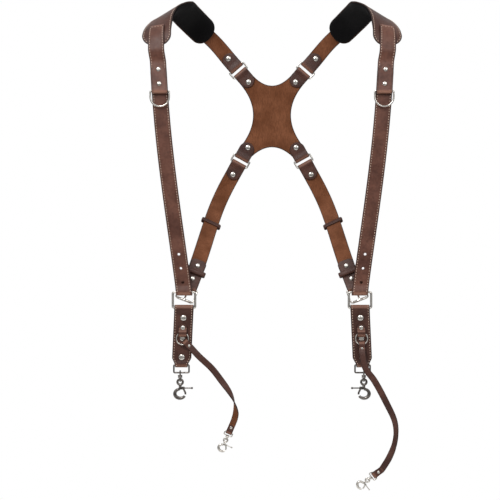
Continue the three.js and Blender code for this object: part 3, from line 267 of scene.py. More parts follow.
def vec(x, y, z):
    return np.array([x, y, z], dtype=float)


def unit(v):
    return v / np.linalg.norm(v)


# Rows with named columns
def table(columns, rows):
    names = columns.split()
    return [dict(zip(names, row)) for row in rows]


def blend(a, b, share):
    return a + (b - a) * share


def ease(share):
    s = min(max(share, 0), 1)
    return s * s * (3 - 2 * s)


# A row of close points along a strap, each with its direction across, and where the strap
# lies on something curved, its face direction
class Run:
    def __init__(self, points):
        kept = [points[0]]
        for point in points[1:]:
            if np.linalg.norm(point[0] - kept[-1][0]) > POINT_GAP:
                kept.append(point)
        self.p = np.array([point[0] for point in kept])
        self.w = np.array([unit(point[1]) for point in kept])
        steps = np.linalg.norm(np.diff(self.p, axis=0), axis=1)
        self.lengths = np.concatenate([[0], np.cumsum(steps)])
        self.length = self.lengths[-1]
        ends = np.concatenate([[self.p[0]], self.p, [self.p[-1]]])
        self.t = np.array([unit(v) for v in ends[2:] - ends[:-2]])
        self.n = np.array([unit(v) for v in np.cross(self.w, self.t)])
        for i, point in enumerate(kept):
            if len(point) > 2:
                self.n[i] = point[2]

    # Place, direction, direction across and face at a distance along the run
    def at(self, distance):
        d = min(max(distance, 0), self.length)
        i = int(np.clip(np.searchsorted(self.lengths, d), 1, len(self.lengths) - 1))
        share = (d - self.lengths[i - 1]) / (self.lengths[i] - self.lengths[i - 1])
        p, t, w, n = (blend(row[i - 1], row[i], share) for row in (self.p, self.t, self.w, self.n))
        return p, unit(t), unit(w), unit(n)

    def nearest(self, point):
        return self.lengths[int(np.argmin(np.linalg.norm(self.p - point, axis=1)))]


def fold_shape(bar):
    thickness = bar.get("leather", LEATHER)
    turn = bar["wire"] + FOLD_FIT + bar.get("slack", 0) + thickness / 2
    rest = (thickness + LAYER_GAP) / 2
    reach = 3 * turn
    lean = bar.get("lean", 0)
    hold = bar.get("hold", 0)

    def close(u):
        return (turn - rest) * ease((u - hold) / (reach - hold))

    def main(u):
        return (1 - lean) * close(u) - turn

    def tab(u):
        return turn - (1 + lean) * close(u)

    def place(u, v):
        return bar["at"] + bar["along"] * u + bar["face"] * v

    return dict(
        thickness=thickness, turn=turn, rest=rest, reach=reach, main=main, tab=tab, place=place)


# Points of a fold, from the tip of the tab, round the bar, to the main layer
def fold(bar):
    shape = fold_shape(bar)
    place, main, turn, reach = (shape[name] for name in ("place", "main", "turn", "reach"))
    w = bar["across"]
    tip = bar["tab"]
    points = []
    count = max(int(tip / RUN_STEP), 4)
    for i in range(count):
        u = tip * (1 - i / count)
        points.append((place(u, shape["tab"](u)), w))
    for i in range(TURN_STEPS + 1):
        angle = math.pi * i / TURN_STEPS
        points.append((place(-turn * math.sin(angle), turn * math.cos(angle)), w))
    count = max(int(reach / RUN_STEP), 4)
    for i in range(1, count + 1):
        u = reach * i / count
        points.append((place(u, main(u)), w))
    straight = bar.get("straight", 0)
    if straight > reach:
        for u in np.linspace(reach, straight, HOLD_STEPS)[1:]:
            points.append((place(u, main(u)), w))
    return points


# Smooth run of points between two, which leaves and arrives along two ways. Each pull is
# how far it holds to its way, as a share of the distance.
def span(from_point, to_point, ways, pulls):
    start, start_across = from_point[:2]
    end, end_across = to_point[:2]
    length = np.linalg.norm(end - start)
    a = start + ways[0] * length * pulls[0]
    b = end - ways[1] * length * pulls[1]
    steps = int(length / RUN_STEP)
    points = []
    for i in range(1, steps):
        s = i / steps
        r = 1 - s
        p = r**3 * start + 3 * r * r * s * a + 3 * r * s * s * b + s**3 * end
        points.append((p, unit(blend(start_across, end_across, ease(s)))))
    return points


# Smooth curve through points, with centripetal knots
def through(points, steps):
    points = [np.asarray(point, dtype=float) for point in points]
    ends = [2 * points[0] - points[1], *points, 2 * points[-1] - points[-2]]
    result = []
    for i in range(steps * (len(points) - 1) + 1):
        at = i / steps
        row = min(int(at), len(points) - 2)
        p = ends[row:row + 4]
        knots = [math.sqrt(math.sqrt(float((p[k + 1] - p[k]) @ (p[k + 1] - p[k])))) for k in range(3)]
        start = (p[1] - p[0]) / knots[0] - (p[2] - p[0]) / (knots[0] + knots[1])
        start = (start + (p[2] - p[1]) / knots[1]) * knots[1]
        end = (p[2] - p[1]) / knots[1] - (p[3] - p[1]) / (knots[1] + knots[2])
        end = (end + (p[3] - p[2]) / knots[2]) * knots[1]
        s = at - row
        cubic = 2 * p[1] - 2 * p[2] + start + end
        square = 3 * p[2] - 3 * p[1] - 2 * start - end
        place = p[1] + start * s + square * s * s + cubic * s**3
        result.append((row, s, place))
    return result


def directions(places):
    ends = [places[0], *places, places[-1]]
    return [unit(ends[i + 2] - ends[i]) for i in range(len(places))]


# Shoulder pad: rows from front to back, as shares of the splay, reach and fall of that half;
# turn and tilt are the direction across, in degrees
PAD_ROWS = table("half splay reach fall turn tilt", (
    ("front", 1, 1, 1, 4, 0),
    ("front", 1, 0.965, 0.84, 8, 2),
    ("front", 0.96, 0.87, 0.66, 16, 8),
    ("front", 0.83, 0.69, 0.46, 25, 17),
    ("front", 0.57, 0.48, 0.29, 30, 24),
    ("front", 0.3, 0.24, 0.185, 30, 24),
    ("front", 0, 0, 0.12, 24, 25),
    ("back", 0.12, 0.29, 0.24, 12, 38),
    ("back", 0.26, 0.56, 0.34, 5, 44),
    ("back", 0.44, 0.79, 0.48, -4, 45),
    ("back", 0.66, 0.92, 0.68, -10, 46),
    ("back", 1, 1, 1, -12, 46),
))


def pad_run():
    centres = []
    acrosses = []
    for row in PAD_ROWS:
        front = row["half"] == "front"
        splay = (PAD_SPLAY_FRONT if front else -PAD_SPLAY_BACK) * row["splay"]
        reach = (-PAD_REACH_FRONT if front else PAD_REACH_BACK) * row["reach"]
        fall = (PAD_FALL_FRONT if front else PAD_FALL_BACK) * row["fall"]
        centres.append(vec(PAD_OUT + splay, reach, -fall))
        turn = math.radians(row["turn"])
        tilt = math.radians(row["tilt"])
        flat = math.cos(tilt)
        acrosses.append(vec(flat * math.cos(turn), flat * math.sin(turn), -math.sin(tilt)))
    curve = through(centres, CURVE_STEPS)
    ways = directions([place for _, _, place in curve])
    points = []
    for (row, s, place), t in zip(curve, ways):
        w = unit(blend(acrosses[row], acrosses[row + 1], s))
        points.append((place, unit(w - t * (w @ t))))
    return Run(points)


PAD = pad_run()
PAD_ON_TOP = PAD_LAYER_GAP / 2 + PAD_LEATHER + PAD_STRAP_GAP + LEATHER / 2


# Points of a strap on the outside of the pad, from just before one end of it
def over_pad(from_back, lap):
    sign = -1 if from_back else 1
    start = PAD.length if from_back else 0
    points = []
    count = int((lap + LAP_LEAD) / RUN_STEP)
    for i in range(count + 1):
        inside = blend(-LAP_LEAD, lap, i / count)
        p, t, w, n = PAD.at(start + sign * inside)
        if inside < 0:
            p = p + t * sign * inside
        points.append((p + n * PAD_ON_TOP, w * sign, n))
    return points


# Bars that straps fold round, each with the direction its strap leaves in
CHEST_FALL = math.tan(math.radians(CHEST_TILT))
CHEST_BAR = dict(
    at=vec(CHEST_OUT, -CHEST_FRONT, -CHEST_DROP),
    along=unit(vec(math.tan(math.radians(CHEST_SLANT)), CHEST_FALL, 1)),
    face=unit(vec(0, -1, CHEST_FALL)), across=X, wire=CHEST_WIRE, tab=CHEST_TAB)
SIDE_CENTRE = vec(SIDE_OUT, -SIDE_FRONT, -SIDE_DROP)
SIDE_BAR = dict(
    at=SIDE_CENTRE + Z * SIDE_RING_HEIGHT / 2,
    along=unit(vec(math.tan(math.radians(FRONT_SLANT)), 0, 1)),
    face=Y, across=X, wire=SIDE_WIRE, slack=0.9, tab=TAIL_LENGTH)
LEAN = math.radians(BUCKLE_LEAN)
RISE = math.radians(BUCKLE_RISE)
BUCKLE_ACROSS = vec(math.cos(LEAN), 0, math.sin(LEAN))
BUCKLE_ALONG = vec(
    -math.sin(LEAN) * math.cos(RISE), math.sin(RISE), math.cos(LEAN) * math.cos(RISE))
ROLLER_CENTRE = SIDE_CENTRE + Y * BUCKLE_BACK
HEEL_BAR = dict(
    at=ROLLER_CENTRE + BUCKLE_ALONG * BUCKLE_LENGTH, along=BUCKLE_ALONG,
    face=unit(np.cross(BUCKLE_ACROSS, BUCKLE_ALONG)), across=BUCKLE_ACROSS,
    wire=BUCKLE_WIRE, tab=BUCKLE_TAB)
YOKE_CENTRE = vec(0, YOKE_BACK, -YOKE_DROP)


# A ring of the cross plate: its centre, the way out of the plate through it, and across it
def yoke_ring(out, height, turn, sign):
    angle = math.radians(turn)
    way = vec(math.sin(angle), 0, sign * math.cos(angle))
    across = vec(math.cos(angle), 0, -sign * math.sin(angle))
    centre = YOKE_CENTRE + X * out + Z * sign * height
    ring = {"centre": centre, "way": way, "across": across}
    for name, side in (("plate_bar", -1), ("strap_bar", 1)):
        ring[name] = dict(
            at=centre + way * side * YOKE_RING_HEIGHT / 2, along=way * side, face=-Y,
            across=across, wire=YOKE_WIRE, tab=YOKE_TAB)
    return ring


UPPER_RING = yoke_ring(UPPER_RING_OUT, UPPER_RING_RISE, UPPER_RING_TURN, 1)
LOWER_RING = yoke_ring(LOWER_RING_OUT, LOWER_RING_SAG, LOWER_RING_TURN, -1)
YOKE_RINGS = (("upper", UPPER_RING), ("lower", LOWER_RING))


# Rivet that holds a fold's tab: outer face, outward axis, and grip through the layers
def tab_rivet(bar, u, radius, under=0):
    shape = fold_shape(bar)
    at = shape["place"](u, shape["tab"](u) + shape["thickness"] / 2)
    grip = shape["tab"](u) - shape["main"](u) + shape["thickness"] + under
    return {"at": at, "axis": bar["face"], "grip": grip, "radius": radius}


# Meshes


# Turn the faces of each closed shell in a mesh to the outside
def turn_outward(tidy):
    seen = set()
    inward = []
    for first in tidy.faces:
        if first in seen:
            continue
        seen.add(first)
        shell_faces = [first]
        for face in shell_faces:
            for edge in face.edges:
                for other in edge.link_faces:
                    if other not in seen:
                        seen.add(other)
                        shell_faces.append(other)
        start = shell_faces[0].verts[0].co
        volume = 0
        for face in shell_faces:
            volume += (face.calc_center_median() - start).dot(face.normal) * face.calc_area()
        if volume < 0:
            inward += shell_faces
    bmesh.ops.reverse_faces(tidy, faces=inward)


# One mesh object from points in millimetres. `kinds` gives each face's material.
def make(name, points, faces, materials, kinds=None, uvs=None, flat=False):
    mesh = bpy.data.meshes.new(name)
    mesh.from_pydata((np.asarray(points) * MM).tolist(), [], faces)
    for material in materials:
        mesh.materials.append(material)
    if kinds is not None:
        mesh.polygons.foreach_set("material_index", kinds)
    if uvs is not None:
        layer = mesh.uv_layers.new(name="UVMap")
        layer.data.foreach_set("uv", np.asarray(uvs, dtype=np.float32).ravel())
    tidy = bmesh.new()
    tidy.from_mesh(mesh)
    turn_outward(tidy)
    tidy.to_mesh(mesh)
    tidy.free()
    mesh.polygons.foreach_set("use_smooth", [not flat] * len(mesh.polygons))
    piece = bpy.data.objects.new(name, mesh)
    bpy.context.scene.collection.objects.link(piece)
    return piece


def mirrored(points, sign):
    result = np.array(points, dtype=float)
    result[:, 0] *= sign
    return result


# Points, faces and texture places of a skin over sections with the same corners. `girth`
# holds each corner's place round the section, and `marks` each section's along it.
def skin(sections, closed, girth, marks, column_kinds, cap_kind=0):
    rows = len(sections)
    size = len(sections[0])
    points = np.concatenate(sections)
    faces = []
    kinds = []
    uvs = []
    spans = rows if closed else rows - 1
    for row in range(spans):
        after = (row + 1) % rows
        v = (marks[row], marks[row + 1])
        for i in range(size):
            j = (i + 1) % size
            faces.append((row * size + i, row * size + j, after * size + j, after * size + i))
            kinds.append(column_kinds[i])
            u = (girth[i], girth[i + 1])
            uvs += [(u[0], v[0]), (u[1], v[0]), (u[1], v[1]), (u[0], v[1])]
    if not closed:
        for base in (0, (rows - 1) * size):
            faces.append(tuple(base + i for i in range(size)))
            kinds.append(cap_kind)
            uvs += [(0, 0)] * size
    return points, faces, kinds, uvs


# Width at a distance from a half-round end
def round_width(distance, width, radius):
    if distance >= radius:
        return width
    cut = radius - math.sqrt(max(radius * radius - (radius - distance) ** 2, 0))
    return max(width - 2 * cut, width * 0.1)


def station_marks(run, round_start, round_end, step):
    marks = list(np.linspace(0, run.length, max(int(run.length / step), 8)))
    for share in ROUND_END_SHARES:
        if round_start:
            marks.append(share * round_start)
        if round_end:
            marks.append(run.length - share * round_end)
    marks.sort()
    kept = [marks[0]]
    for mark in marks[1:]:
        if mark - kept[-1] > MARK_GAP:
            kept.append(mark)
    return kept


FACE, EDGE, BACK = 0, 1, 2

# Rounding of a strap's edges, as shares of half its thickness or width
EDGE_ROUND = 0.8
EDGE_SHARE = 0.2
EDGE_FLAT = 0.15
EDGE_ANGLES = (60, 30)
FACE_COLUMNS = (0.3, 0.62)
QUARTERS = ((1, 1), (-1, 1), (-1, -1), (1, -1))


# How far from a strap's middle its seam lies
def seam_place(half):
    return half - min(STITCH_INSET, half * SEAM_SHARE)


# Half of a strap's section, from the middle of its face to the middle of its edge
def half_profile(half, up, groove):
    corner = min(up * EDGE_ROUND, half * EDGE_SHARE)
    flat = half - corner
    columns = [(flat * share, up) for share in FACE_COLUMNS]
    if groove:
        line = seam_place(half)
        reach = min(GROOVE_REACH, half * GROOVE_SHARE)
        depth = GROOVE_DEPTH * reach / GROOVE_REACH
        columns += [(line - reach, up), (line, up - depth), (line + reach, up)]
    columns.append((flat, up))
    for angle in EDGE_ANGLES:
        turn = math.radians(angle)
        columns.append((flat + corner * math.cos(turn), up - corner + corner * math.sin(turn)))
    columns.append((half, up * EDGE_FLAT))
    return columns


# Closed section of a strap: face, edge, back and other edge, with the kind of each column
def strap_section(half, thickness, groove):
    side = half_profile(half, thickness / 2, groove)
    right = side + [(x, -y) for x, y in reversed(side)]
    left = [(-x, y) for x, y in reversed(right)]
    count = len(side)
    kinds = []
    for i in range(4 * count):
        if count - 4 <= i % (2 * count) <= count + 2:
            kinds.append(EDGE)
        elif i < count or i > 3 * count:
            kinds.append(FACE)
        else:
            kinds.append(BACK)
    return np.array(right + left), kinds


# Section of the padded lining: flat against the leather, crowned towards the shoulder
def lining_section(half, thickness, _groove):
    shares = np.linspace(1, -1, CROWN_COLUMNS)
    width_share = half / (PAD_WIDTH / 2 - PAD_RIM)
    full = thickness * min(1, LINING_THIN + (1 - LINING_THIN) * width_share)
    depths = LINING_EDGE + (LINING_CROWN - LINING_EDGE) * (1 - np.abs(shares) ** LINING_POWER)
    above = [(share * half, thickness / 2) for share in np.linspace(-1, 1, FLAT_COLUMNS)]
    crown = [(share * half, thickness / 2 - depth * full) for share, depth in zip(shares, depths)]
    return np.array(above + crown), [FACE] * (len(above) + len(crown))


# How sharply a run bends at a distance along it: 0 where it is flat, 1 in a fold
def bend_at(run, mark):
    before = run.at(mark - BEND_REACH)[1]
    after = run.at(mark + BEND_REACH)[1]
    return ease((np.linalg.norm(after - before) - BEND_FROM) / BEND_SPREAD)


# A flat band of leather along a run. The materials are for its face, edges and back.
def band(name, sign, run, width, thickness, materials, **options):
    groove = options.get("groove", False)
    round_start = options.get("round_start", 0)
    round_end = options.get("round_end", 0)
    offset = options.get("offset", 0)
    width_at = options.get("width_at")
    section_at = options.get("section_at", strap_section)
    end_ridge = options.get("end_ridge", 0)
    marks = station_marks(run, round_start, round_end, options.get("step", FACE_STEP))
    sections = []
    rims = []
    highlights = []
    groove_shades = []
    kinds = None
    for mark in marks:
        p, _, w, n = run.at(mark)
        wide = width_at(mark) if width_at else width
        if round_start:
            wide = min(wide, round_width(mark, width, round_start))
        if round_end:
            wide = min(wide, round_width(run.length - mark, width, round_end))
        section, kinds = section_at(wide / 2, thickness, groove)
        sections.append(p + np.outer(section[:, 0], w) + np.outer(section[:, 1] + offset, n))
        rims.append(np.abs(section[:, 0]) / (wide / 2))
        # Painted highlight: lighter on folds and along the strap's cut end
        ridge = 1 if end_ridge and run.length - mark < end_ridge else 0
        highlights.append(np.full(len(section), max(bend_at(run, mark), ridge)))
        # Stitch groove, which the material paints in shade
        sunk = np.abs(np.abs(section[:, 0]) - seam_place(wide / 2)) < SEAM_HALF
        groove_shades.append(sunk * float(groove))
    middle = sections[len(sections) // 2]
    steps = np.linalg.norm(np.roll(middle, -1, axis=0) - middle, axis=1)
    girth = np.concatenate([[0], np.cumsum(steps)]) * MM
    along = np.array(marks) * MM
    points, faces, face_kinds, uvs = skin(sections, False, girth, along, kinds, EDGE)
    piece = make(name, mirrored(points, sign), faces, materials, face_kinds, uvs)
    add_field(piece, "rim", np.concatenate(rims))
    add_field(piece, "painted_highlight", np.concatenate(highlights))
    add_field(piece, "groove_shade", np.concatenate(groove_shades))
    return piece


# A number for each point of a mesh, which its material reads
def add_field(piece, name, values):
    field = piece.data.attributes.new(name, "FLOAT", "POINT")
    field.data.foreach_set("value", np.asarray(values, dtype=np.float32))


# Stitches along a line of points, each with the direction out of the leather
def stitch_line(points, normals):
    points = np.array(points)
    lengths = np.concatenate([[0], np.cumsum(np.linalg.norm(np.diff(points, axis=0), axis=1))])
    count = max(int(lengths[-1] / STITCH_PITCH), 1)
    middles = (np.arange(count) + 0.5) * lengths[-1] / count
    result = []
    for middle in middles:
        i = int(np.clip(np.searchsorted(lengths, middle), 1, len(lengths) - 1))
        share = (middle - lengths[i - 1]) / (lengths[i] - lengths[i - 1])
        centre = blend(points[i - 1], points[i], share)
        result.append((centre, unit(points[i] - points[i - 1]), normals[i]))
    return result


# One object of all the stitches of several lines: short raised threads with sunk ends
def stitches(name, sign, lines):
    angles = 2 * math.pi * np.arange(THREAD_SIDES) / THREAD_SIDES
    points = []
    faces = []
    for line in lines:
        for centre, t, n in stitch_line(*line):
            w = unit(np.cross(t, n))
            base = len(points)
            for place, girth in THREAD_RINGS:
                sunk = THREAD_SINK * (1 - girth)
                middle = centre + t * STITCH_LENGTH * place - n * sunk
                out = STITCH_WIDTH / 2 * girth
                for angle in angles:
                    points.append(middle + w * out * math.cos(angle) + n * out * math.sin(angle))
            last = base + (len(THREAD_RINGS) - 1) * THREAD_SIDES
            for a in range(base, last, THREAD_SIDES):
                for k in range(THREAD_SIDES):
                    j = (k + 1) % THREAD_SIDES
                    faces.append((a + k, a + j, a + THREAD_SIDES + j, a + THREAD_SIDES + k))
            for end in (base, last):
                faces.append(tuple(end + k for k in range(THREAD_SIDES)))
    settle(make(name, mirrored(points, sign), faces, [THREAD]), "harness")


# Line for stitches on a run's face or back, at a distance in from one edge
def edge_line(run, width, side, lift, start, end, width_at=None):
    points = []
    normals = []
    for mark in np.arange(start, end, RUN_STEP):
        p, _, w, n = run.at(mark)
        half = (width_at(mark) if width_at else width) / 2
        points.append(p + w * side * (half - STITCH_INSET) + n * lift)
        normals.append(n * math.copysign(1, lift))
    return points, normals


# Round wire along points in a plane. The radius may change along it, and `flat` makes the
# wire wider out of the plane.
def wire(points, plane, radius, closed, sides=14, flat=1):
    count = len(points)
    angles = 2 * math.pi * np.arange(sides) / sides
    sections = []
    for i, point in enumerate(points):
        before = points[(i - 1) % count] if closed else points[max(i - 1, 0)]
        after = points[(i + 1) % count] if closed else points[min(i + 1, count - 1)]
        up = unit(np.cross(after - before, plane))
        r = radius(i / (count - 1)) if callable(radius) else radius
        around = np.outer(np.cos(angles) * flat, plane) + np.outer(np.sin(angles), up)
        sections.append(point + r * around)
    return shell(sections, closed)


# Points and faces of a skin over sections, with no texture places
def shell(sections, closed=False):
    size = len(sections[0])
    girth = np.zeros(size + 1)
    marks = np.zeros(len(sections) + 1)
    points, faces, _, _ = skin(sections, closed, girth, marks, [0] * size)
    return points, faces


def arc_points(centre, right, up, x, z, radius, start, end, steps):
    points = []
    for i in range(steps + 1):
        angle = math.radians(blend(start, end, i / steps))
        points.append(
            centre + right * (x + radius * math.cos(angle)) + up * (z + radius * math.sin(angle)))
    return points


def box_ring(centre, right, up, width, height, radius, corner):
    x, z = width / 2 - corner, height / 2 - corner
    points = []
    for i, (sx, sz) in enumerate(QUARTERS):
        start = 90 * i
        points += arc_points(
            centre, right, up, sx * x, sz * z, corner, start, start + 90, BOX_CORNER_STEPS)
    return wire(points, unit(np.cross(right, up)), radius, True)


def round_ring(centre, right, up, radius, wire_radius, steps=40):
    points = arc_points(centre, right, up, 0, 0, radius, 0, 360, steps)[:-1]
    return wire(points, unit(np.cross(right, up)), wire_radius, True)


# Solid turned from a profile of (radius, height) round an axis
def turned(profile, at, axis, sides=28):
    side = unit(np.cross(axis, X if abs(axis @ X) < 0.8 else Y))
    other = np.cross(axis, side)
    angles = 2 * math.pi * np.arange(sides) / sides
    around = np.outer(np.cos(angles), side) + np.outer(np.sin(angles), other)
    return shell([at + axis * h + around * max(r, 0.02) for r, h in profile])


def rod(start, end, radius, sides=20):
    length = np.linalg.norm(end - start)
    soft = min(radius * 0.25, length * 0.2)
    profile = [
        (radius - soft, 0),
        (radius, soft),
        (radius, length - soft),
        (radius - soft, length),
    ]
    return turned(profile, start, unit(end - start), sides)


# Domed head, and for a whole rivet its shank and small back cap
def rivet_profile(radius, grip=None):
    rise = radius * RIVET_RISE
    dome = [(radius, 0), (radius, rise * RIVET_BRIM)]
    for angle in DOME_ANGLES:
        turn = math.radians(angle)
        height = RIVET_BRIM + (1 - RIVET_BRIM) * math.sin(turn)
        dome.append((radius * math.cos(turn) ** 0.8, rise * height))
    dome = [(r, h + FIT) for r, h in dome]
    if grip is None:
        return [(radius * 0.98, -FIT)] + dome
    shank = radius * RIVET_SHANK
    back = -grip - FIT
    cap = radius * RIVET_CAP
    return [(cap * 0.8, back - 1), (cap, back - 0.7), (cap, back), (shank, back), (shank, FIT)] + dome


# One part from several
def joined(parts):
    points = []
    faces = []
    for part_points, part_faces in parts:
        base = len(points)
        points += list(part_points)
        faces += [tuple(base + i for i in face) for face in part_faces]
    return points, faces


def metal(name, sign, part, material):
    points, faces = part
    return make(name, mirrored(points, sign), faces, [material])


# Materials
def srgb(red, green, blue):
    values = []
    for level in (red, green, blue):
        share = level / 255
        values.append(share / 12.92 if share < 0.04 else ((share + 0.055) / 1.055) ** 2.4)
    return (*values, 1)


def put(tree, socket, value):
    if isinstance(value, bpy.types.NodeSocket):
        tree.links.new(value, socket)
    else:
        socket.default_value = value


# Give a node's inputs values or links. Their names have _ for each space.
def feed(tree, node, **inputs):
    for name, value in inputs.items():
        put(tree, node.inputs[name.replace("_", " ")], value)


def add_node(tree, kind, **inputs):
    node = tree.nodes.new(f"ShaderNode{kind}")
    feed(tree, node, **inputs)
    return node


def mix_colour(tree, share, a, b):
    node = tree.nodes.new("ShaderNodeMix")
    node.data_type = "RGBA"
    for i, value in ((0, share), (6, a), (7, b)):
        put(tree, node.inputs[i], value)
    return node.outputs[2]


# Node material whose patterns lie in the object's own place
class Finish:
    def __init__(self, name, roughness, metallic=0.0):
        self.material = bpy.data.materials.new(name)
        self.material.use_nodes = True
        self.tree = self.material.node_tree
        self.shader = self.tree.nodes["Principled BSDF"]
        self.set(Roughness=roughness, Metallic=metallic)
        self.place = self.node("TexCoord").outputs["Object"]

    def node(self, kind, **inputs):
        return add_node(self.tree, kind, **inputs)

    def set(self, **inputs):
        feed(self.tree, self.shader, **inputs)

    def noise(self, size, detail=3, place=None):
        where = place or self.place
        return self.node("TexNoise", Vector=where, Scale=1 / (size * MM), Detail=detail).outputs["Fac"]

    def cells(self, size):
        node = self.node("TexVoronoi", Vector=self.place, Scale=1 / (size * MM))
        node.feature = "DISTANCE_TO_EDGE"
        return node.outputs["Distance"]

    def stretched(self, x, y, z):
        return self.node("Mapping", Vector=self.place, Scale=(x, y, z)).outputs["Vector"]

    def field(self, name):
        node = self.node("Attribute")
        node.attribute_name = name
        return node.outputs["Fac"]

    def spread(self, value, low, high, to_low=0.0, to_high=1.0):
        limits = dict(From_Min=low, From_Max=high, To_Min=to_low, To_Max=to_high)
        return self.node("MapRange", Value=value, **limits).outputs["Result"]

    def mix(self, share, a, b):
        return mix_colour(self.tree, share, a, b)

    def bump(self, height, depth, **under):
        return self.node("Bump", Height=height, Distance=depth * MM, **under).outputs["Normal"]


def grain_leather(name, dark, light, fold_highlight):
    finish = Finish(name, 0.42)
    cloud = finish.spread(finish.noise(38, 4), 0.35, 0.65)
    base = finish.mix(cloud, dark, light)
    mottle = finish.spread(finish.noise(5, 3), 0.42, 0.7, 0, 0.4)
    base = finish.mix(mottle, base, srgb(58, 32, 25))
    # Painted highlight: lighter where the strap folds round a bar and at its cut end
    highlight_share = finish.spread(finish.field("painted_highlight"), 0, 1, 0, 0.7)
    base = finish.mix(highlight_share, base, fold_highlight)
    # Painted shade in the sunk stitch groove
    groove_shade = finish.spread(finish.field("groove_shade"), 0.2, 0.9, 0, 0.8)
    base = finish.mix(groove_shade, base, srgb(34, 19, 15))
    rim = finish.spread(finish.field("rim"), 0.88, 1, 0, 0.85)
    pores = finish.bump(finish.spread(finish.cells(1.1), 0, 0.12), 0.05)
    finish.set(
        Base_Color=finish.mix(rim, base, srgb(40, 22, 18)),
        Specular_IOR_Level=0.3,
        Roughness=finish.spread(finish.noise(12, 3), 0.3, 0.7, 0.34, 0.5),
        Normal=finish.bump(finish.noise(7, 4), 0.3, Normal=pores))
    return finish.material


def flesh_leather():
    finish = Finish("flesh_leather", 0.9)
    cloud = finish.spread(finish.noise(30, 4), 0.35, 0.65)
    base = finish.mix(cloud, srgb(104, 61, 37), srgb(128, 80, 54))
    fibre = finish.noise(1.6, 5, finish.stretched(1, 1, 0.22))
    base = finish.mix(finish.spread(fibre, 0.4, 0.68, 0, 0.5), base, srgb(80, 45, 26))
    rim = finish.spread(finish.field("rim"), 0.9, 1, 0, 0.85)
    finish.set(
        Base_Color=finish.mix(rim, base, srgb(42, 24, 18)),
        Specular_IOR_Level=0.15,
        Sheen_Weight=0.06,
        Sheen_Roughness=0.5,
        Normal=finish.bump(fibre, 0.22))
    return finish.material


def edge_leather():
    finish = Finish("edge_leather", 0.5)
    layer = finish.noise(1.2, 3)
    colour = finish.mix(layer, srgb(34, 20, 17), srgb(60, 37, 30))
    finish.set(Base_Color=colour, Specular_IOR_Level=0.3, Normal=finish.bump(layer, 0.08))
    return finish.material


def lining_cloth():
    finish = Finish("lining_cloth", 0.95)
    nap = finish.noise(1.3, 5)
    cloud = finish.spread(finish.noise(25, 3), 0.4, 0.7, 0, 0.4)
    dark = finish.mix(finish.spread(nap, 0.35, 0.7), srgb(7, 6, 7), srgb(16, 15, 16))
    finish.set(
        Base_Color=finish.mix(cloud, dark, srgb(20, 19, 20)),
        Specular_IOR_Level=0.08,
        Sheen_Weight=0.02,
        Sheen_Roughness=0.6,
        Normal=finish.bump(nap, 0.3))
    return finish.material


def sewing_thread():
    finish = Finish("sewing_thread", 0.7)
    twist = finish.noise(0.5, 2)
    colour = finish.mix(twist, srgb(204, 172, 150), srgb(236, 212, 194))
    finish.set(Base_Color=colour, Normal=finish.bump(twist, 0.1))
    return finish.material


# Plating, with a painted dark reflection where it is seen edge on
def plated_metal(name, light, dark, low, high):
    finish = Finish(name, low, 1.0)
    plate = finish.mix(finish.spread(finish.noise(9, 3), 0.35, 0.7), light, dark)
    # Painted dark reflection, by the angle the surface is seen at
    facing = finish.node("LayerWeight").outputs["Facing"]
    dark_reflection = finish.spread(facing, 0.35, 0.85, 0, 0.9)
    finish.set(
        Base_Color=finish.mix(dark_reflection, plate, srgb(58, 52, 48)),
        Roughness=finish.spread(finish.noise(2.5, 4), 0.3, 0.75, low, high),
        Normal=finish.bump(finish.noise(1.5, 3), 0.02))
    return finish.material


def plain_floor():
    finish = Finish("plain_floor", 0.9)
    finish.set(Base_Color=finish.mix(finish.noise(120, 3), srgb(232, 231, 229), srgb(242, 241, 240)))
    return finish.material


GRAIN_LEATHER = grain_leather(
    "grain_leather", srgb(82, 50, 40), srgb(110, 72, 59), srgb(168, 122, 102))
# Darker copy of the grain leather: painted shade for the tabs, pad, drop strap and keepers
SHADED_GRAIN = grain_leather(
    "shaded_grain_leather", srgb(60, 34, 27), srgb(86, 54, 44), srgb(140, 98, 80))
FLESH_LEATHER = flesh_leather()
EDGE_LEATHER = edge_leather()
LINING = lining_cloth()
THREAD = sewing_thread()
NICKEL = plated_metal("nickel_plate", srgb(226, 222, 215), srgb(200, 194, 186), 0.12, 0.3)
DARK_NICKEL = plated_metal("dark_nickel_plate", srgb(132, 126, 121), srgb(88, 83, 80), 0.16, 0.34)

BOTH_GRAIN = [GRAIN_LEATHER, EDGE_LEATHER, GRAIN_LEATHER]
SHADED_BOTH = [SHADED_GRAIN, EDGE_LEATHER, SHADED_GRAIN]
GRAIN_ON_FACE = [SHADED_GRAIN, EDGE_LEATHER, FLESH_LEATHER]
GRAIN_ON_BACK = [FLESH_LEATHER, EDGE_LEATHER, SHADED_GRAIN]


# Body and, where it stands in for one, the solid of a piece
def settle(piece, body, node=None):
    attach(piece, body)
    if node:
        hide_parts(node)


# A plated piece, in place of the solid that `node` names
def plated(prefix, sign, name, part, node=None, body="harness", slot="nickel", voxel=0):
    material = DARK_NICKEL if slot == "dark_nickel" else NICKEL
    piece = metal(f"{prefix}_{name}", sign, part, material)
    if voxel:
        cast(piece, voxel)
    settle(piece, body, node and f"{prefix}_{node}")


# A band of leather with what is cut out of it, in place of the solid that `node` names
def leather(prefix, sign, name, node, run, width, materials, **options):
    thickness = options.pop("thickness", LEATHER)
    cutters = options.pop("cutters", ())
    piece = band(f"{prefix}_{name}_leather", sign, run, width, thickness, materials, **options)
    for cutter in cutters:
        cut(piece, metal(f"{prefix}_cutter", sign, cutter, EDGE_LEATHER))
    settle(piece, "harness", f"{prefix}_{node}")


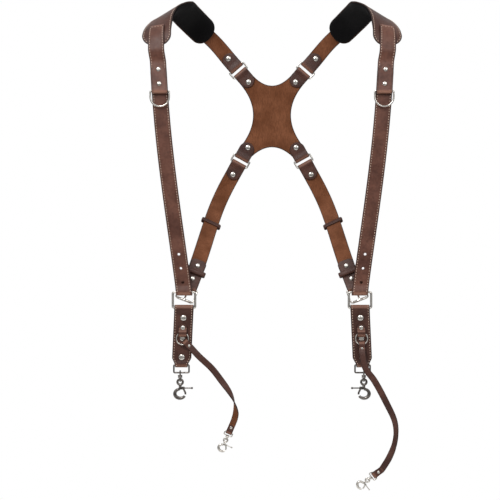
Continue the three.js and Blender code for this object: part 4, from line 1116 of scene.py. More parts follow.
# Replace a piece's mesh by what its modifiers make of it
def apply_modifiers(piece):
    graph = bpy.context.evaluated_depsgraph_get()
    mesh = bpy.data.meshes.new_from_object(piece.evaluated_get(graph), depsgraph=graph)
    piece.modifiers.clear()
    piece.data = mesh
    mesh.polygons.foreach_set("use_smooth", [True] * len(mesh.polygons))


# Melt the overlapping parts of a casting into one smooth body
def cast(piece, voxel):
    remesh = piece.modifiers.new("cast", "REMESH")
    remesh.mode = "VOXEL"
    remesh.voxel_size = voxel * MM
    soften = piece.modifiers.new("soften", "SMOOTH")
    soften.factor = 0.5
    soften.iterations = 5
    apply_modifiers(piece)


def cut(piece, cutter):
    hole = piece.modifiers.new("cut", "BOOLEAN")
    hole.operation = "DIFFERENCE"
    hole.solver = "EXACT"
    hole.object = cutter
    apply_modifiers(piece)
    bpy.data.objects.remove(cutter)


def rivet(rivet_at, whole=False):
    profile = rivet_profile(rivet_at["radius"], rivet_at["grip"] if whole else None)
    return turned(profile, rivet_at["at"], rivet_at["axis"])


# Pads
def make_pad(prefix, sign):
    ends = {"round_start": PAD_END, "round_end": PAD_END}
    lift = PAD_LAYER_GAP / 2 + PAD_LEATHER / 2
    leather(
        prefix, sign, "pad", "shoulder_pad_leather", PAD, PAD_WIDTH, GRAIN_ON_FACE,
        thickness=PAD_LEATHER, offset=lift, groove=True, **ends)
    lining = band(
        f"{prefix}_pad_lining", sign, PAD, PAD_WIDTH - 2 * PAD_RIM, PAD_FILL, [LINING] * 3,
        offset=-PAD_LAYER_GAP / 2 - PAD_FILL / 2, section_at=lining_section, **ends)
    settle(lining, "harness", f"{prefix}_shoulder_pad_lining")
    stitches(f"{prefix}_pad_stitches", sign, [pad_border(lift + PAD_LEATHER / 2)])


# Line for stitches all round the pad
def pad_border(lift):
    half = PAD_WIDTH / 2 - STITCH_INSET
    radius = PAD_END - STITCH_INSET
    flat = half - radius
    path = [(mark, half) for mark in np.arange(PAD_END, PAD.length - PAD_END, RUN_STEP)]
    corners = (
        (PAD.length - PAD_END, flat, 90, 0), (PAD.length - PAD_END, -flat, 0, -90),
        (PAD_END, -flat, -90, -180), (PAD_END, flat, -180, -270))
    sides = []
    for mark, across, start, end in corners:
        corner = []
        for angle in np.linspace(start, end, CORNER_STEPS):
            turn = math.radians(angle)
            corner.append((mark + radius * math.cos(turn), across + radius * math.sin(turn)))
        sides.append(corner)
    back = [(mark, -across) for mark, across in reversed(path)]
    points = []
    normals = []
    for mark, across in path + sides[0] + sides[1] + back + sides[2] + sides[3]:
        p, _, w, n = PAD.at(mark)
        points.append(p + w * across + n * lift)
        normals.append(n)
    return points, normals


# Ways and pulls of the straps between their folds and laps
LAP_PULLS = (0.35, 0.35)
FRONT_WAYS = (unit(vec(0.12, -0.16, 1)), unit(vec(0.06, -0.02, 1)))
FRONT_PULLS = (0.3, 0.35)
REAR_LEAVE = unit(vec(-0.34, 0.42, 0.94))
REAR_PULLS = (0.4, 0.3)


def shoulder_run():
    folded = fold({**CHEST_BAR, "straight": CHEST_TAB + PAST_TAB})
    lap = over_pad(False, FRONT_LAP)
    ways = (CHEST_BAR["along"], PAD.at(0)[1])
    return Run(folded + span(folded[-1], lap[0], ways, LAP_PULLS) + lap)


def front_run():
    folded = fold(SIDE_BAR)
    chest = fold_shape(CHEST_BAR)
    top = []
    for u in np.linspace(0, CHEST_TAB - CHEST_HIDE, CHEST_STEPS):
        top.append((chest["place"](u, chest["main"](u) - LEATHER - LAYER_GAP), X))
    return Run(folded + span(folded[-1], top[0], FRONT_WAYS, FRONT_PULLS) + top)


def rear_lower_run():
    low = fold(HEEL_BAR)
    high = fold({**LOWER_RING["strap_bar"], "straight": YOKE_TAB + PAST_TAB})
    high.reverse()
    ways = (REAR_LEAVE, -LOWER_RING["way"])
    return Run(low + span(low[-1], high[0], ways, REAR_PULLS) + high)


def rear_upper_run():
    bar = UPPER_RING["strap_bar"]
    folded = fold({**bar, "across": -bar["across"]})
    lap = over_pad(True, BACK_LAP)
    ways = (UPPER_RING["way"], -PAD.at(PAD.length)[1])
    return Run(folded + span(folded[-1], lap[0], ways, LAP_PULLS) + lap)


DROP_TOP = SIDE_CENTRE - Z * SIDE_RING_HEIGHT / 2
DROP_BOTTOM = DROP_TOP - Z * DROP_LENGTH + X * DROP_SPLAY
DROP_DOWN = unit(DROP_BOTTOM - DROP_TOP)
DROP_TAB = DROP_LENGTH / 2 - 0.5
DROP_UPPER_BAR = dict(
    at=DROP_TOP, along=DROP_DOWN, face=Y, across=X, wire=SIDE_WIRE, slack=0.3, tab=DROP_TAB)
DROP_LOWER_BAR = dict(
    at=DROP_BOTTOM, along=-DROP_DOWN, face=Y, across=X, wire=DROP_WIRE, tab=DROP_TAB)
DROP_LEDGE = 6
DROP_FOOT_WIDTH = DROP_RING_WIDTH - 2 * DROP_WIRE - 2 * RING_ROOM


def drop_run():
    lower = fold(DROP_LOWER_BAR)
    lower.reverse()
    return Run(fold(DROP_UPPER_BAR) + lower)


SHOULDER = shoulder_run()
FRONT = front_run()
REAR_LOWER = rear_lower_run()
REAR_UPPER = rear_upper_run()
DROP = drop_run()
DROP_TURN = DROP.nearest(DROP_BOTTOM - Z * fold_shape(DROP_LOWER_BAR)["turn"])


def drop_width(mark):
    away = (abs(mark - DROP_TURN) - DROP_LEDGE) / DROP_CORNER
    return blend(DROP_FOOT_WIDTH, DROP_WIDTH, min(max(away, 0), 1))


def chest_rivets():
    under = LEATHER + LAYER_GAP
    return [tab_rivet(CHEST_BAR, u, SMALL_RIVET_RADIUS, under) for u in CHEST_RIVETS]


STRAP_RING_WIDTH = STRAP_WIDTH + 2 * RING_ROOM
# Length at the shoulder strap's cut end that gets the painted highlight
STRAP_END_HIGHLIGHT = 2.2


def make_chest(prefix, sign):
    leather(
        prefix, sign, "shoulder", "shoulder_strap", SHOULDER, STRAP_WIDTH, BOTH_GRAIN,
        round_start=STRAP_WIDTH / 2, groove=True, end_ridge=STRAP_END_HIGHLIGHT)
    start = CHEST_TAB + STITCH_START
    end = SHOULDER.length - STITCH_INSET
    lines = [
        edge_line(SHOULDER, STRAP_WIDTH, side, STITCH_LIFT, start, end) for side in (-1, 1)]
    p, _, w, n = SHOULDER.at(end)
    half = STRAP_WIDTH / 2 - STITCH_INSET
    across = np.linspace(-half, half, ACROSS_STEPS)
    lines.append(([p + w * x + n * STITCH_LIFT for x in across], [n] * len(across)))
    stitches(f"{prefix}_shoulder_stitches", sign, lines)

    half = STRAP_RING_WIDTH / 2 + CHEST_WIRE
    corner = THIN_RING_CORNER
    at = CHEST_BAR["at"]
    points = arc_points(at, X, Z, half - corner, -corner, corner, 0, 90, D_CORNER_STEPS)
    points += arc_points(at, X, Z, corner - half, -corner, corner, 90, 180, D_CORNER_STEPS)
    low = half - CHEST_RING_DEPTH
    points += arc_points(at, X, Z, 0, low, half, 180, 360, D_BOW_STEPS)
    ring = wire(points, Y, CHEST_WIRE, True)
    plated(prefix, sign, "chest_ring_wire", ring, "chest_d_ring", f"{prefix}_chest_ring")
    for i, place in enumerate(chest_rivets(), 1):
        plated(prefix, sign, f"chest_rivet_head_{i}", rivet(place, True), f"chest_rivet_{i}")


# Bar of the buckle's tongue, from its root to past the roller
def tongue_part(room):
    lift = ROLLER_RADIUS + TONGUE_THICKNESS / 2 - TONGUE_SINK
    rest = ROLLER_CENTRE + HEEL_BAR["face"] * lift
    way = unit(rest - HEEL_BAR["at"])
    end = rest + way * TONGUE_PAST_ROLLER
    points = [blend(HEEL_BAR["at"], end, share) for share in np.linspace(0, 1, TONGUE_STEPS)]
    radius = TONGUE_THICKNESS / 2 + room

    def taper(share):
        return radius * min(1, TONGUE_TIP + TONGUE_TAPER * (1 - share))

    shape = radius if room else taper
    return wire(points, BUCKLE_ACROSS, shape, False, flat=TONGUE_WIDTH / TONGUE_THICKNESS)


FRONT_TURN = FRONT.nearest(SIDE_BAR["at"] - Z * fold_shape(SIDE_BAR)["turn"])
HOLE_STEPS = (-2, -1, 1, 2, 3)


def make_front(prefix, sign):
    cutters = [tongue_part(CUT_ROOM)]
    for step in HOLE_STEPS:
        p, _, _, n = FRONT.at(FRONT_TURN + step * HOLE_PITCH)
        cutters.append(rod(p - n * 2 * LEATHER, p + n * 2 * LEATHER, HOLE_RADIUS))
    leather(
        prefix, sign, "front", "front_strap", FRONT, STRAP_WIDTH, BOTH_GRAIN, groove=True,
        round_start=STRAP_WIDTH * 0.45, round_end=STRAP_WIDTH * 0.3, cutters=[joined(cutters)])
    lines = []
    far = FRONT.length - STRAP_STITCH_END
    for lift in (STITCH_LIFT, -STITCH_LIFT):
        for side in (-1, 1):
            start = FRONT_TURN + STITCH_START
            lines.append(edge_line(FRONT, STRAP_WIDTH, side, lift, start, far))
    stitches(f"{prefix}_front_stitches", sign, lines)
    width = DROP_WIDTH + 2 * RING_ROOM + 2 * SIDE_WIRE
    ring = box_ring(SIDE_CENTRE, X, Z, width, SIDE_RING_HEIGHT, SIDE_WIRE, SIDE_CORNER)
    plated(prefix, sign, "side_ring_wire", ring, "side_ring")


def make_buckle(prefix, sign):
    width = STRAP_RING_WIDTH + 2 * BUCKLE_WIRE
    centre = ROLLER_CENTRE + BUCKLE_ALONG * BUCKLE_LENGTH / 2
    outer = box_ring(
        centre, BUCKLE_ACROSS, BUCKLE_ALONG, width, BUCKLE_LENGTH, BUCKLE_WIRE, SIDE_CORNER)
    half = BUCKLE_ACROSS * (STRAP_WIDTH / 2 - 1)
    roller = rod(ROLLER_CENTRE - half, ROLLER_CENTRE + half, ROLLER_RADIUS, 28)
    reach = BUCKLE_ACROSS * TONGUE_WIDTH / 2
    root = rod(HEEL_BAR["at"] - reach, HEEL_BAR["at"] + reach, TONGUE_ROOT, 24)
    parts = joined([outer, roller, root, tongue_part(0)])
    plated(prefix, sign, "buckle_frame", parts, "roller_buckle")


def make_rear(prefix, sign):
    reach = BUCKLE_ACROSS * (TONGUE_WIDTH / 2 + FIT)
    slot = rod(HEEL_BAR["at"] - reach, HEEL_BAR["at"] + reach, TONGUE_ROOT + FIT)
    leather(
        prefix, sign, "rear_lower", "rear_lower_strap", REAR_LOWER, STRAP_WIDTH, GRAIN_ON_BACK,
        round_start=STRAP_WIDTH * 0.25, round_end=STRAP_WIDTH / 2,
        cutters=[slot, tongue_part(CUT_ROOM)])
    leather(
        prefix, sign, "rear_upper", "rear_upper_strap", REAR_UPPER, STRAP_WIDTH, GRAIN_ON_FACE,
        round_start=STRAP_WIDTH / 2)
    places = [tab_rivet(HEEL_BAR, u, SMALL_RIVET_RADIUS) for u in BUCKLE_RIVETS]
    for _, ring in YOKE_RINGS:
        for bar in ("strap_bar", "plate_bar"):
            places.append(tab_rivet(ring[bar], YOKE_RIVET, YOKE_RIVET_RADIUS))
    plated(prefix, sign, "rear_rivets", joined([rivet(place) for place in places]))
    width = STRAP_RING_WIDTH + 2 * YOKE_WIRE
    for name, ring in YOKE_RINGS:
        part = box_ring(
            ring["centre"], ring["across"], ring["way"], width, YOKE_RING_HEIGHT, YOKE_WIRE,
            THIN_RING_CORNER)
        plated(prefix, sign, f"yoke_{name}_wire", part, f"yoke_{name}_ring")


# Closed band of leather round one or two layers of the rear strap
def keeper(name, sign, distance, layers, shift):
    p, t, w, n = REAR_LOWER.at(distance)
    middle = p + n * shift
    half = STRAP_WIDTH / 2 + KEEPER_SLACK + KEEPER_LEATHER / 2
    up = (layers * LEATHER + (layers - 1) * LAYER_GAP) / 2 + KEEPER_GAP + KEEPER_LEATHER / 2
    corner = min(up * EDGE_ROUND, KEEPER_CORNER)
    tall = KEEPER_HEIGHT / 2
    thick = KEEPER_LEATHER / 2
    soft = KEEPER_SOFT
    profile = [(thick, tall - soft), (thick - soft, tall), (soft - thick, tall), (-thick, tall - soft)]
    profile += [(a, -b) for a, b in reversed(profile)]
    sections = []
    for i, (sx, sz) in enumerate(QUARTERS):
        for angle in np.linspace(90 * i, 90 * i + 90, KEEPER_CORNER_STEPS):
            turn = math.radians(angle)
            out = w * math.cos(turn) + n * math.sin(turn)
            centre = middle + w * sx * (half - corner) + n * sz * (up - corner) + out * corner
            sections.append(np.array([centre + out * a + t * b for a, b in profile]))
    points, faces = shell(sections, True)
    return make(name, mirrored(points, sign), faces, [SHADED_GRAIN])


def make_keepers(prefix, sign):
    upper = keeper(
        f"{prefix}_upper_keeper_band", sign, REAR_LOWER.length * UPPER_KEEPER_SHARE, 1, 0)
    settle(upper, "harness", f"{prefix}_upper_keeper")
    shape = fold_shape(HEEL_BAR)
    between = (BUCKLE_RIVETS[0] + BUCKLE_RIVETS[1]) / 2
    distance = REAR_LOWER.nearest(shape["place"](between, shape["main"](between)))
    towards_tab = math.copysign(1, REAR_LOWER.at(distance)[3] @ HEEL_BAR["face"])
    shift = towards_tab * (LEATHER + LAYER_GAP) / 2
    lower = keeper(f"{prefix}_lower_keeper_band", sign, distance, 2, shift)
    settle(lower, "harness", f"{prefix}_lower_keeper")


O_STAND_OFF = O_WIRE + FOLD_FIT + RING_TAB_SLACK + SAFETY_LEATHER + LAYER_GAP
DROP_FACE = DROP_TOP - Y * ((LEATHER + LAYER_GAP) / 2 + LEATHER / 2)
O_CENTRE = DROP_FACE + DROP_DOWN * O_RING_DROP - Y * O_STAND_OFF
O_SAG = O_RING_RADIUS - math.sqrt(O_RING_RADIUS**2 - (RING_TAB_WIDTH / 2) ** 2)


def make_drop(prefix, sign):
    leather(
        prefix, sign, "drop", "drop_strap", DROP, DROP_WIDTH, SHADED_BOTH, width_at=drop_width,
        groove=True)
    lines = []
    far = DROP.length - 2
    for side in (-1, 1):
        lines.append(edge_line(DROP, DROP_WIDTH, side, -STITCH_LIFT, 2, far, drop_width))
    stitches(f"{prefix}_drop_stitches", sign, lines)
    lift = fold_shape(DROP_UPPER_BAR)["rest"] + LEATHER / 2
    for name, i, radius in DROP_RIVET_HEADS:
        at = DROP_TOP + DROP_DOWN * DROP_RIVETS[i] - Y * lift
        place = dict(at=at, axis=-Y, grip=2 * LEATHER + LAYER_GAP, radius=radius)
        part = rivet(place, True)
        plated(prefix, sign, f"drop_{name}_rivet_head", part, f"drop_{name}_rivet")
    centre = DROP_BOTTOM - Z * DROP_RING_HEIGHT / 2
    ring = box_ring(centre, X, Z, DROP_RING_WIDTH, DROP_RING_HEIGHT, DROP_WIRE, DROP_CORNER_TURN)
    body = f"{prefix}_drop_ring"
    plated(prefix, sign, "drop_ring_wire", ring, "drop_ring", body, "dark_nickel")


def make_ring_tab(prefix, sign):
    bar = dict(
        at=O_CENTRE + DROP_DOWN * (O_SAG - O_RING_RADIUS), along=-DROP_DOWN, face=-Y, across=X,
        wire=O_WIRE, leather=SAFETY_LEATHER, tab=RING_TAB_LENGTH, lean=1, slack=RING_TAB_SLACK,
        hold=O_SAG + 2 * O_WIRE)
    shape = fold_shape(bar)
    end = shape["place"](RING_TAB_LENGTH, shape["main"](RING_TAB_LENGTH))
    half = RING_TAB_WIDTH / 2
    leather(
        prefix, sign, "ring_tab", "ring_tab", Run(fold(bar) + [(end, X)]), RING_TAB_WIDTH,
        SHADED_BOTH, thickness=SAFETY_LEATHER, round_start=half, round_end=half)
    above = O_RING_DROP - DROP_RIVETS[1] - O_RING_RADIUS + O_SAG
    face = shape["place"](above, shape["tab"](above) + SAFETY_LEATHER / 2)
    place = dict(at=face, axis=-Y, radius=SMALL_RIVET_RADIUS)
    plated(prefix, sign, "ring_tab_rivet", rivet(place))
    plated(prefix, sign, "o_ring_wire", round_ring(O_CENTRE, X, Z, O_RING_RADIUS, O_WIRE), "o_ring")


# Snap hook in its own place: +X points to its lever, and it hangs along -Z
def snap_frame(origin, lever, down, scale):
    z = -down
    x = unit(lever - z * (lever @ z))
    y = np.cross(z, x)
    return origin, np.array([x, y, z]) * scale


def in_frame(part, place):
    origin, axes = place
    points, faces = part
    return origin + np.array(points) @ axes, faces


def snap_barrel():
    head = SNAP_EYE_DROP - SNAP_EYE + SNAP_EYE_WIRE + 1
    waist = SNAP_BARREL * SNAP_WAIST
    middle = (SNAP_BARREL_TOP + SNAP_BARREL_END) / 2
    profile = [
        (SNAP_BARREL - 1.2, -SNAP_BARREL_TOP),
        (SNAP_BARREL, -SNAP_BARREL_TOP - 0.9),
        (SNAP_BARREL, -middle + 1.1),
        (waist, -middle + 0.4),
        (waist, -middle - 0.4),
        (SNAP_BARREL, -middle - 1.1),
        (SNAP_BARREL, -SNAP_BARREL_END + 0.7),
        (SNAP_BARREL - 1, -SNAP_BARREL_END),
    ]
    barrel = turned(profile, vec(0, 0, 0), Z)
    pin = rod(vec(0, 0, 1 - SNAP_BARREL_END), vec(0, 0, -head), SNAP_PIN)
    cap = rod(vec(0, 0, FIT - head), vec(0, 0, -head - 1.4), SNAP_PIN + 0.5)
    return joined([barrel, pin, cap])


SNAP_PIVOT = vec(SNAP_PIVOT_OUT, 0, -SNAP_PIVOT_DROP)


def bow_point(angle):
    turn = math.radians(angle)
    return vec(
        SNAP_BOW_WIDTH / 2 * math.cos(turn), 0,
        SNAP_BOW_HEIGHT / 2 * math.sin(turn) - SNAP_BOW_DROP)


def box_part(centre, sizes):
    x, y, z = (size / 2 for size in sizes)
    sections = []
    for side in (-1, 1):
        corners = ((-x, -z), (x, -z), (x, z), (-x, z))
        sections.append(np.array([centre + vec(a, side * y, b) for a, b in corners]))
    return shell(sections)


# The bow's wire is thickest at its middle
def bow_radius(share):
    return SNAP_BOW_WIRE * (BOW_TIP_SHARE + (1 - BOW_TIP_SHARE) * math.sin(math.pi * share))


# Snap body without its bore, which the remesh would fill at this size
def snap_body():
    top = SNAP_BARREL_END + 0.5
    inside = SNAP_EYE_DROP - SNAP_EYE + SNAP_EYE_WIRE
    eye = round_ring(vec(0, 0, -SNAP_EYE_DROP), X, Z, SNAP_EYE, SNAP_EYE_WIRE)
    collar = rod(vec(0, 0, -top), vec(0, 0, FIT - inside), SNAP_PIN + SNAP_COLLAR)
    neck = rod(vec(0, 0, -SNAP_EYE_DROP - SNAP_EYE), bow_point(90), SNAP_NECK)
    bow = [bow_point(angle) for angle in BOW_ANGLES]
    bow_wire = wire(bow, Y, bow_radius, False, 20)
    parts = [eye, collar, neck, bow_wire]
    for side in (-1, 1):
        middle = SNAP_PIVOT + vec(-SNAP_PIVOT_OUT / 2, side * (SNAP_EAR_GAP + SNAP_EAR) / 2, 0)
        sizes = (SNAP_PIVOT_OUT + SNAP_EAR_PAST, SNAP_EAR, SNAP_EAR_HEIGHT)
        parts.append(box_part(middle, sizes))
    reach = vec(0, SNAP_EAR_GAP / 2 + SNAP_EAR / 2, 0)
    parts.append(rod(SNAP_PIVOT - reach, SNAP_PIVOT + reach, 1))
    return joined(parts)


def snap_gate():
    reach = vec(0, SNAP_EAR_GAP / 2 - 0.4, 0)
    barrel = rod(SNAP_PIVOT - reach, SNAP_PIVOT + reach, SNAP_GATE + 0.7)
    arm = [SNAP_PIVOT] + [bow_point(angle) for angle in GATE_ANGLES]
    end = SNAP_PIVOT + X * (SNAP_LEVER - SNAP_PIVOT_OUT)
    lever = rod(SNAP_PIVOT, end, SNAP_LEVER_RADIUS)
    turns = [math.radians(angle) for angle in KNOB_ANGLES]
    knob = turned([(SNAP_KNOB * math.sin(a), -SNAP_KNOB * math.cos(a)) for a in turns], end, X)
    return joined([barrel, wire(arm, Y, SNAP_GATE, False), lever, knob])


SNAP_ORIGIN = DROP_BOTTOM - Z * DROP_RING_HEIGHT + X * SNAP_ALONG_BAR
SNAP_VOXEL = 0.4


# The swivel, body and gate of a snap, each on its own body
def make_snap_parts(prefix, kind, sign, place, loop, swivel_body, slot):
    voxel = SNAP_VOXEL * float(np.linalg.norm(place[1][0]))
    parts = (
        ("swivel", joined([in_frame(snap_barrel(), place), loop]), swivel_body),
        ("body", in_frame(snap_body(), place), f"{prefix}_{kind}_body"),
        ("gate", in_frame(snap_gate(), place), f"{prefix}_{kind}_gate"),
    )
    for name, part, body in parts:
        piece = f"{kind}_{name}"
        plated(prefix, sign, f"{piece}_cast", part, piece, body, slot, voxel)


def make_snap(prefix, sign):
    place = snap_frame(SNAP_ORIGIN, -X, -Z, 1)
    loop = in_frame(round_ring(vec(0, 0, 0), Y, Z, SNAP_LOOP, SNAP_LOOP_WIRE), place)
    body = f"{prefix}_snap_swivel"
    make_snap_parts(prefix, "snap", sign, place, loop, body, "dark_nickel")


# Route of a safety strap from the O-ring down to its clip, as shares of its reach and
# fall. Reach is positive towards the wearer's middle, and twist turns the strap, in degrees.
SAFETY_COLUMNS = "reach fall twist"
SAFETY_ROUTES = {
    "right": dict(
        reach=SAFETY_RIGHT_REACH, fall=SAFETY_RIGHT_FALL, leave=vec(-0.69, 0, -0.72),
        arrive=vec(0.4, 0, -0.917), tab_in_front=True, lever=vec(-1, 0, 0),
        rows=table(SAFETY_COLUMNS, (
            (0.313, 0.185, 0),
            (0.555, 0.312, 0),
            (0.733, 0.44, 10),
            (0.892, 0.567, 50),
            (0.976, 0.673, 95),
            (1, 0.779, 150),
            (0.976, 0.847, 175),
            (0.931, 0.914, 180),
        ))),
    "left": dict(
        reach=SAFETY_LEFT_REACH, fall=SAFETY_LEFT_FALL, leave=vec(0.05, 0, -1),
        arrive=vec(-0.8, 0, -0.6), tab_in_front=False, lever=vec(0, 0, -1),
        rows=table(SAFETY_COLUMNS, (
            (-0.01, 0.1, 0),
            (-0.112, 0.224, 0),
            (-0.365, 0.316, 0),
            (-0.7, 0.475, 10),
            (-0.956, 0.62, 35),
            (-1, 0.716, 50),
            (-0.944, 0.81, 45),
            (-0.8, 0.905, 15),
            (-0.561, 1, 0),
        ))),
}


# Place on a safety strap's route that a row gives
def route_place(route, row):
    return O_CENTRE - X * row["reach"] * route["reach"] - Z * row["fall"] * route["fall"]


def across_at(way, twist):
    flat = unit(np.cross(way, Y))
    turn = Matrix.Rotation(math.radians(twist), 3, Vector(way))
    return np.array(turn @ Vector(flat))


# Bars of the safety strap's two folds: round the O-ring, and round the clip's loop
def safety_bars(route):
    leave = unit(route["leave"])
    arrive = unit(route["arrive"])
    sag = O_RING_RADIUS - math.sqrt(O_RING_RADIUS**2 - (SAFETY_WIDTH / 2) ** 2)
    ring = dict(
        at=O_CENTRE + leave * (O_RING_RADIUS - sag), along=leave, face=Y,
        across=across_at(leave, 0), wire=O_WIRE, leather=SAFETY_LEATHER, tab=SAFETY_TAB,
        slack=0.1, hold=sag + 2 * O_WIRE)
    last = route["rows"][-1]
    end = route_place(route, last)
    clip = dict(
        at=end + arrive * SAFETY_TAB, along=-arrive, face=-Y if route["tab_in_front"] else Y,
        across=across_at(arrive, last["twist"]), wire=CLIP_WIRE, leather=SAFETY_LEATHER,
        tab=SAFETY_TAB, straight=SAFETY_TAB + PAST_TAB)
    return ring, clip, arrive


def safety_run(route):
    ring, clip, _ = safety_bars(route)
    start = fold(ring)
    finish = fold(clip)
    finish.reverse()
    places = [start[-1][0]]
    for row in route["rows"][:-1]:
        p = route_place(route, row)
        p[1] = start[-1][0][1] - SAFETY_BULGE * math.sin(math.pi * row["fall"])
        places.append(p)
    places.append(finish[0][0])
    twists = [0] + [row["twist"] for row in route["rows"]]
    curve = through(places, CURVE_STEPS)
    ways = directions([place for _, _, place in curve])
    between = []
    for (row, s, place), way in list(zip(curve, ways))[1:-1]:
        between.append((place, across_at(way, blend(twists[row], twists[row + 1], s))))
    return Run(start + between + finish)


def make_safety(prefix, sign):
    route = SAFETY_ROUTES[prefix]
    ring, bar, arrive = safety_bars(route)
    half = SAFETY_WIDTH / 2
    leather(
        prefix, sign, "safety", "safety_strap", safety_run(route), SAFETY_WIDTH, GRAIN_ON_BACK,
        thickness=SAFETY_LEATHER, round_start=half, round_end=half)
    heads = []
    for folded in (ring, bar):
        shape = fold_shape(folded)
        in_front = folded["face"][1] < 0
        layer = shape["tab" if in_front else "main"](SAFETY_RIVET)
        lift = (1 if in_front else -1) * SAFETY_LEATHER / 2
        at = shape["place"](SAFETY_RIVET, layer + lift)
        heads.append(rivet(dict(at=at, axis=-Y, radius=SAFETY_RIVET_RADIUS)))
    plated(prefix, sign, "safety_rivets", joined(heads))
    width = SAFETY_WIDTH + 2 * RING_ROOM + 2 * CLIP_WIRE
    centre = bar["at"] + arrive * CLIP_LOOP_HEIGHT / 2
    corner = CLIP_WIRE + CLIP_CORNER
    loop = box_ring(centre, bar["across"], arrive, width, CLIP_LOOP_HEIGHT, CLIP_WIRE, corner)
    origin = bar["at"] + arrive * (CLIP_LOOP_HEIGHT - SNAP_BARREL_TOP * CLIP_SCALE)
    place = snap_frame(origin, route["lever"], arrive, CLIP_SCALE)
    make_snap_parts(prefix, "clip", sign, place, loop, "harness", "nickel")


SIDES = (("left", 1), ("right", -1))
# Edge of the cross plate: how far in, and its height as a share of half the leather
PLATE_EDGE = ((1.6, 1), (0.7, 0.9), (0.15, 0.55), (0, 0))
ON_THE_TAB = 1.5


# Cross plate: its outline in the plane of the back, one side after the other
def plate_corner(ring, mirror, side):
    bar = ring["plate_bar"]
    reach = fold_shape(bar)["reach"]
    p = bar["at"] + bar["along"] * reach + bar["across"] * side * STRAP_WIDTH / 2
    return np.array([mirror * p[0], p[2]])


def plate_outline():
    sides = (
        (np.array([0, YOKE_RISE - YOKE_DROP]), plate_corner(UPPER_RING, -1, -1)),
        (None, plate_corner(UPPER_RING, -1, 1)),
        (np.array([-YOKE_WAIST, -YOKE_DROP]), plate_corner(LOWER_RING, -1, 1)),
        (None, plate_corner(LOWER_RING, -1, -1)),
        (np.array([0, -YOKE_SAG - YOKE_DROP]), plate_corner(LOWER_RING, 1, -1)),
        (None, plate_corner(LOWER_RING, 1, 1)),
        (np.array([YOKE_WAIST, -YOKE_DROP]), plate_corner(UPPER_RING, 1, 1)),
        (None, plate_corner(UPPER_RING, 1, -1)),
    )
    last = plate_corner(UPPER_RING, 1, -1)
    points = []
    for waist, to in sides:
        steps = ARM_STEPS if waist is None else WAIST_STEPS
        for i in range(steps):
            s = i / steps
            if waist is None:
                points.append(blend(last, to, s))
            else:
                control = 2 * waist - (last + to) / 2
                points.append((1 - s) ** 2 * last + 2 * s * (1 - s) * control + s * s * to)
        last = to
    return np.array(points)


def make_plate():
    outline = plate_outline()
    ahead = np.roll(outline, -1, axis=0) - np.roll(outline, 1, axis=0)
    inward = np.stack([-ahead[:, 1], ahead[:, 0]], axis=1)
    inward /= np.linalg.norm(inward, axis=1)[:, None]
    if np.sum((outline - outline.mean(axis=0)) * inward) > 0:
        inward = -inward
    up = LEATHER / 2
    rows = [(inset, height * up) for inset, height in PLATE_EDGE]
    rows += [(inset, -height) for inset, height in reversed(rows[:-1])]
    middle = YOKE_BACK + (LEATHER + LAYER_GAP) / 2
    sections = []
    for inset, height in rows:
        flat = outline + inward * inset
        depth = np.full(len(flat), middle - height)
        sections.append(np.stack([flat[:, 0], depth, flat[:, 1]], axis=1))
    points, faces = shell(sections)
    kinds = [EDGE] * (len(faces) - 2) + [FACE, BACK]
    plate = make("cross_plate_leather", points, faces, GRAIN_ON_BACK, kinds)
    for polygon in plate.data.polygons:
        if len(polygon.vertices) == len(outline):
            polygon.use_smooth = False
    settle(plate, "harness", "yoke_plate")
    for prefix, sign in SIDES:
        for name, ring in YOKE_RINGS:
            make_plate_arm(prefix, sign, name, ring["plate_bar"])


# An arm of the cross plate, folded round its ring, with the grain outward on its tab
def make_plate_arm(prefix, sign, name, bar):
    shape = fold_shape(bar)
    end = shape["reach"] + 2
    run = Run(fold(bar) + [(shape["place"](end, shape["main"](end)), bar["across"])])
    grain_out = run.at(ON_THE_TAB)[3] @ bar["face"] > 0
    arm = band(
        f"{prefix}_plate_{name}_arm", sign, run, STRAP_WIDTH, LEATHER,
        GRAIN_ON_FACE if grain_out else GRAIN_ON_BACK, round_start=STRAP_WIDTH / 2)
    settle(arm, "harness")


make_plate()
for prefix, sign in SIDES:
    make_pad(prefix, sign)
    make_chest(prefix, sign)
    make_front(prefix, sign)
    make_buckle(prefix, sign)
    make_rear(prefix, sign)
    make_keepers(prefix, sign)
    make_drop(prefix, sign)
    make_ring_tab(prefix, sign)
    make_snap(prefix, sign)
    make_safety(prefix, sign)


# Floor, light and camera
FLOOR_DEPTH = -1250
FLOOR_REACH = 1450
FLOOR_SQUARES = 12
STUDIO_STOPS = ((0.3, 0.12), (0.75, 0.7))


def make_floor():
    points = []
    faces = []
    places = [blend(-FLOOR_REACH, FLOOR_REACH, i / FLOOR_SQUARES) for i in range(FLOOR_SQUARES + 1)]
    for x in places:
        for y in places:
            points.append(vec(x, y, FLOOR_DEPTH))
    row = FLOOR_SQUARES + 1
    for i in range(FLOOR_SQUARES):
        for j in range(FLOOR_SQUARES):
            a = i * row + j
            faces.append((a, a + row, a + row + 1, a + 1))
    make("floor", points, faces, [plain_floor()])


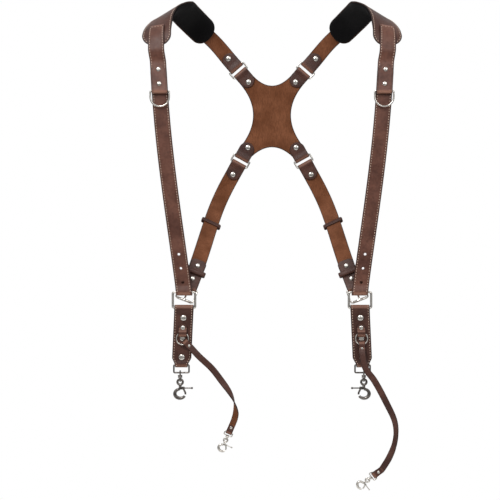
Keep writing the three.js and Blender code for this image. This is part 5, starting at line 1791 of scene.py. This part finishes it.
def make_light(name, at, target, size, power):
    data = bpy.data.lights.new(name, "AREA")
    data.shape = "RECTANGLE"
    data.size, data.size_y = size
    data.energy = power
    light = bpy.data.objects.new(name, data)
    light.location = at
    way = Vector(target) - Vector(at)
    light.rotation_euler = way.to_track_quat("-Z", "Y").to_euler()
    bpy.context.scene.collection.objects.link(light)


# Studio: white where the camera sees it, and in reflections dark below and pale above
def make_world():
    world = bpy.data.worlds.new("studio")
    world.use_nodes = True
    tree = world.node_tree
    place = add_node(tree, "TexCoord").outputs["Generated"]
    split = add_node(tree, "SeparateXYZ", Vector=place)
    up = add_node(tree, "MapRange", Value=split.outputs["Z"], From_Min=-1)
    ramp = add_node(tree, "ValToRGB", Fac=up.outputs["Result"])
    for stop, (position, level) in zip(ramp.color_ramp.elements, STUDIO_STOPS):
        stop.position = position
        stop.color = (level, level, level, 1)
    seen = add_node(tree, "LightPath").outputs["Is Camera Ray"]
    colour = mix_colour(tree, seen, ramp.outputs["Color"], (1, 1, 1, 1))
    put(tree, tree.nodes["Background"].inputs["Color"], colour)
    bpy.context.scene.world = world


LIGHTS = table("name at target size power", (
    ("key", (-0.6, -1.6, 0.85), (0, 0, -0.2), (0.8, 0.8), 21),
    ("fill", (1.0, -1.7, 0.55), (0, 0, -0.3), (0.6, 1.0), 8),
    ("top", (0.0, 0.1, 1.2), (0, 0, -0.3), (1.6, 0.8), 3),
))
CAMERA_PLACE = (0, -3.37, -0.491)
CAMERA_LENS = 121.85
CAMERA_SHIFT = -0.044


def make_camera():
    data = bpy.data.cameras.new("camera")
    data.lens = CAMERA_LENS
    data.sensor_width = 36
    data.shift_x = CAMERA_SHIFT
    camera = bpy.data.objects.new("camera", data)
    camera.location = CAMERA_PLACE
    camera.rotation_euler = (math.radians(90), 0, 0)
    bpy.context.scene.collection.objects.link(camera)
    bpy.context.scene.camera = camera


make_floor()
make_world()
for row in LIGHTS:
    make_light(**row)
make_camera()
bpy.context.scene.view_settings.view_transform = "Standard"
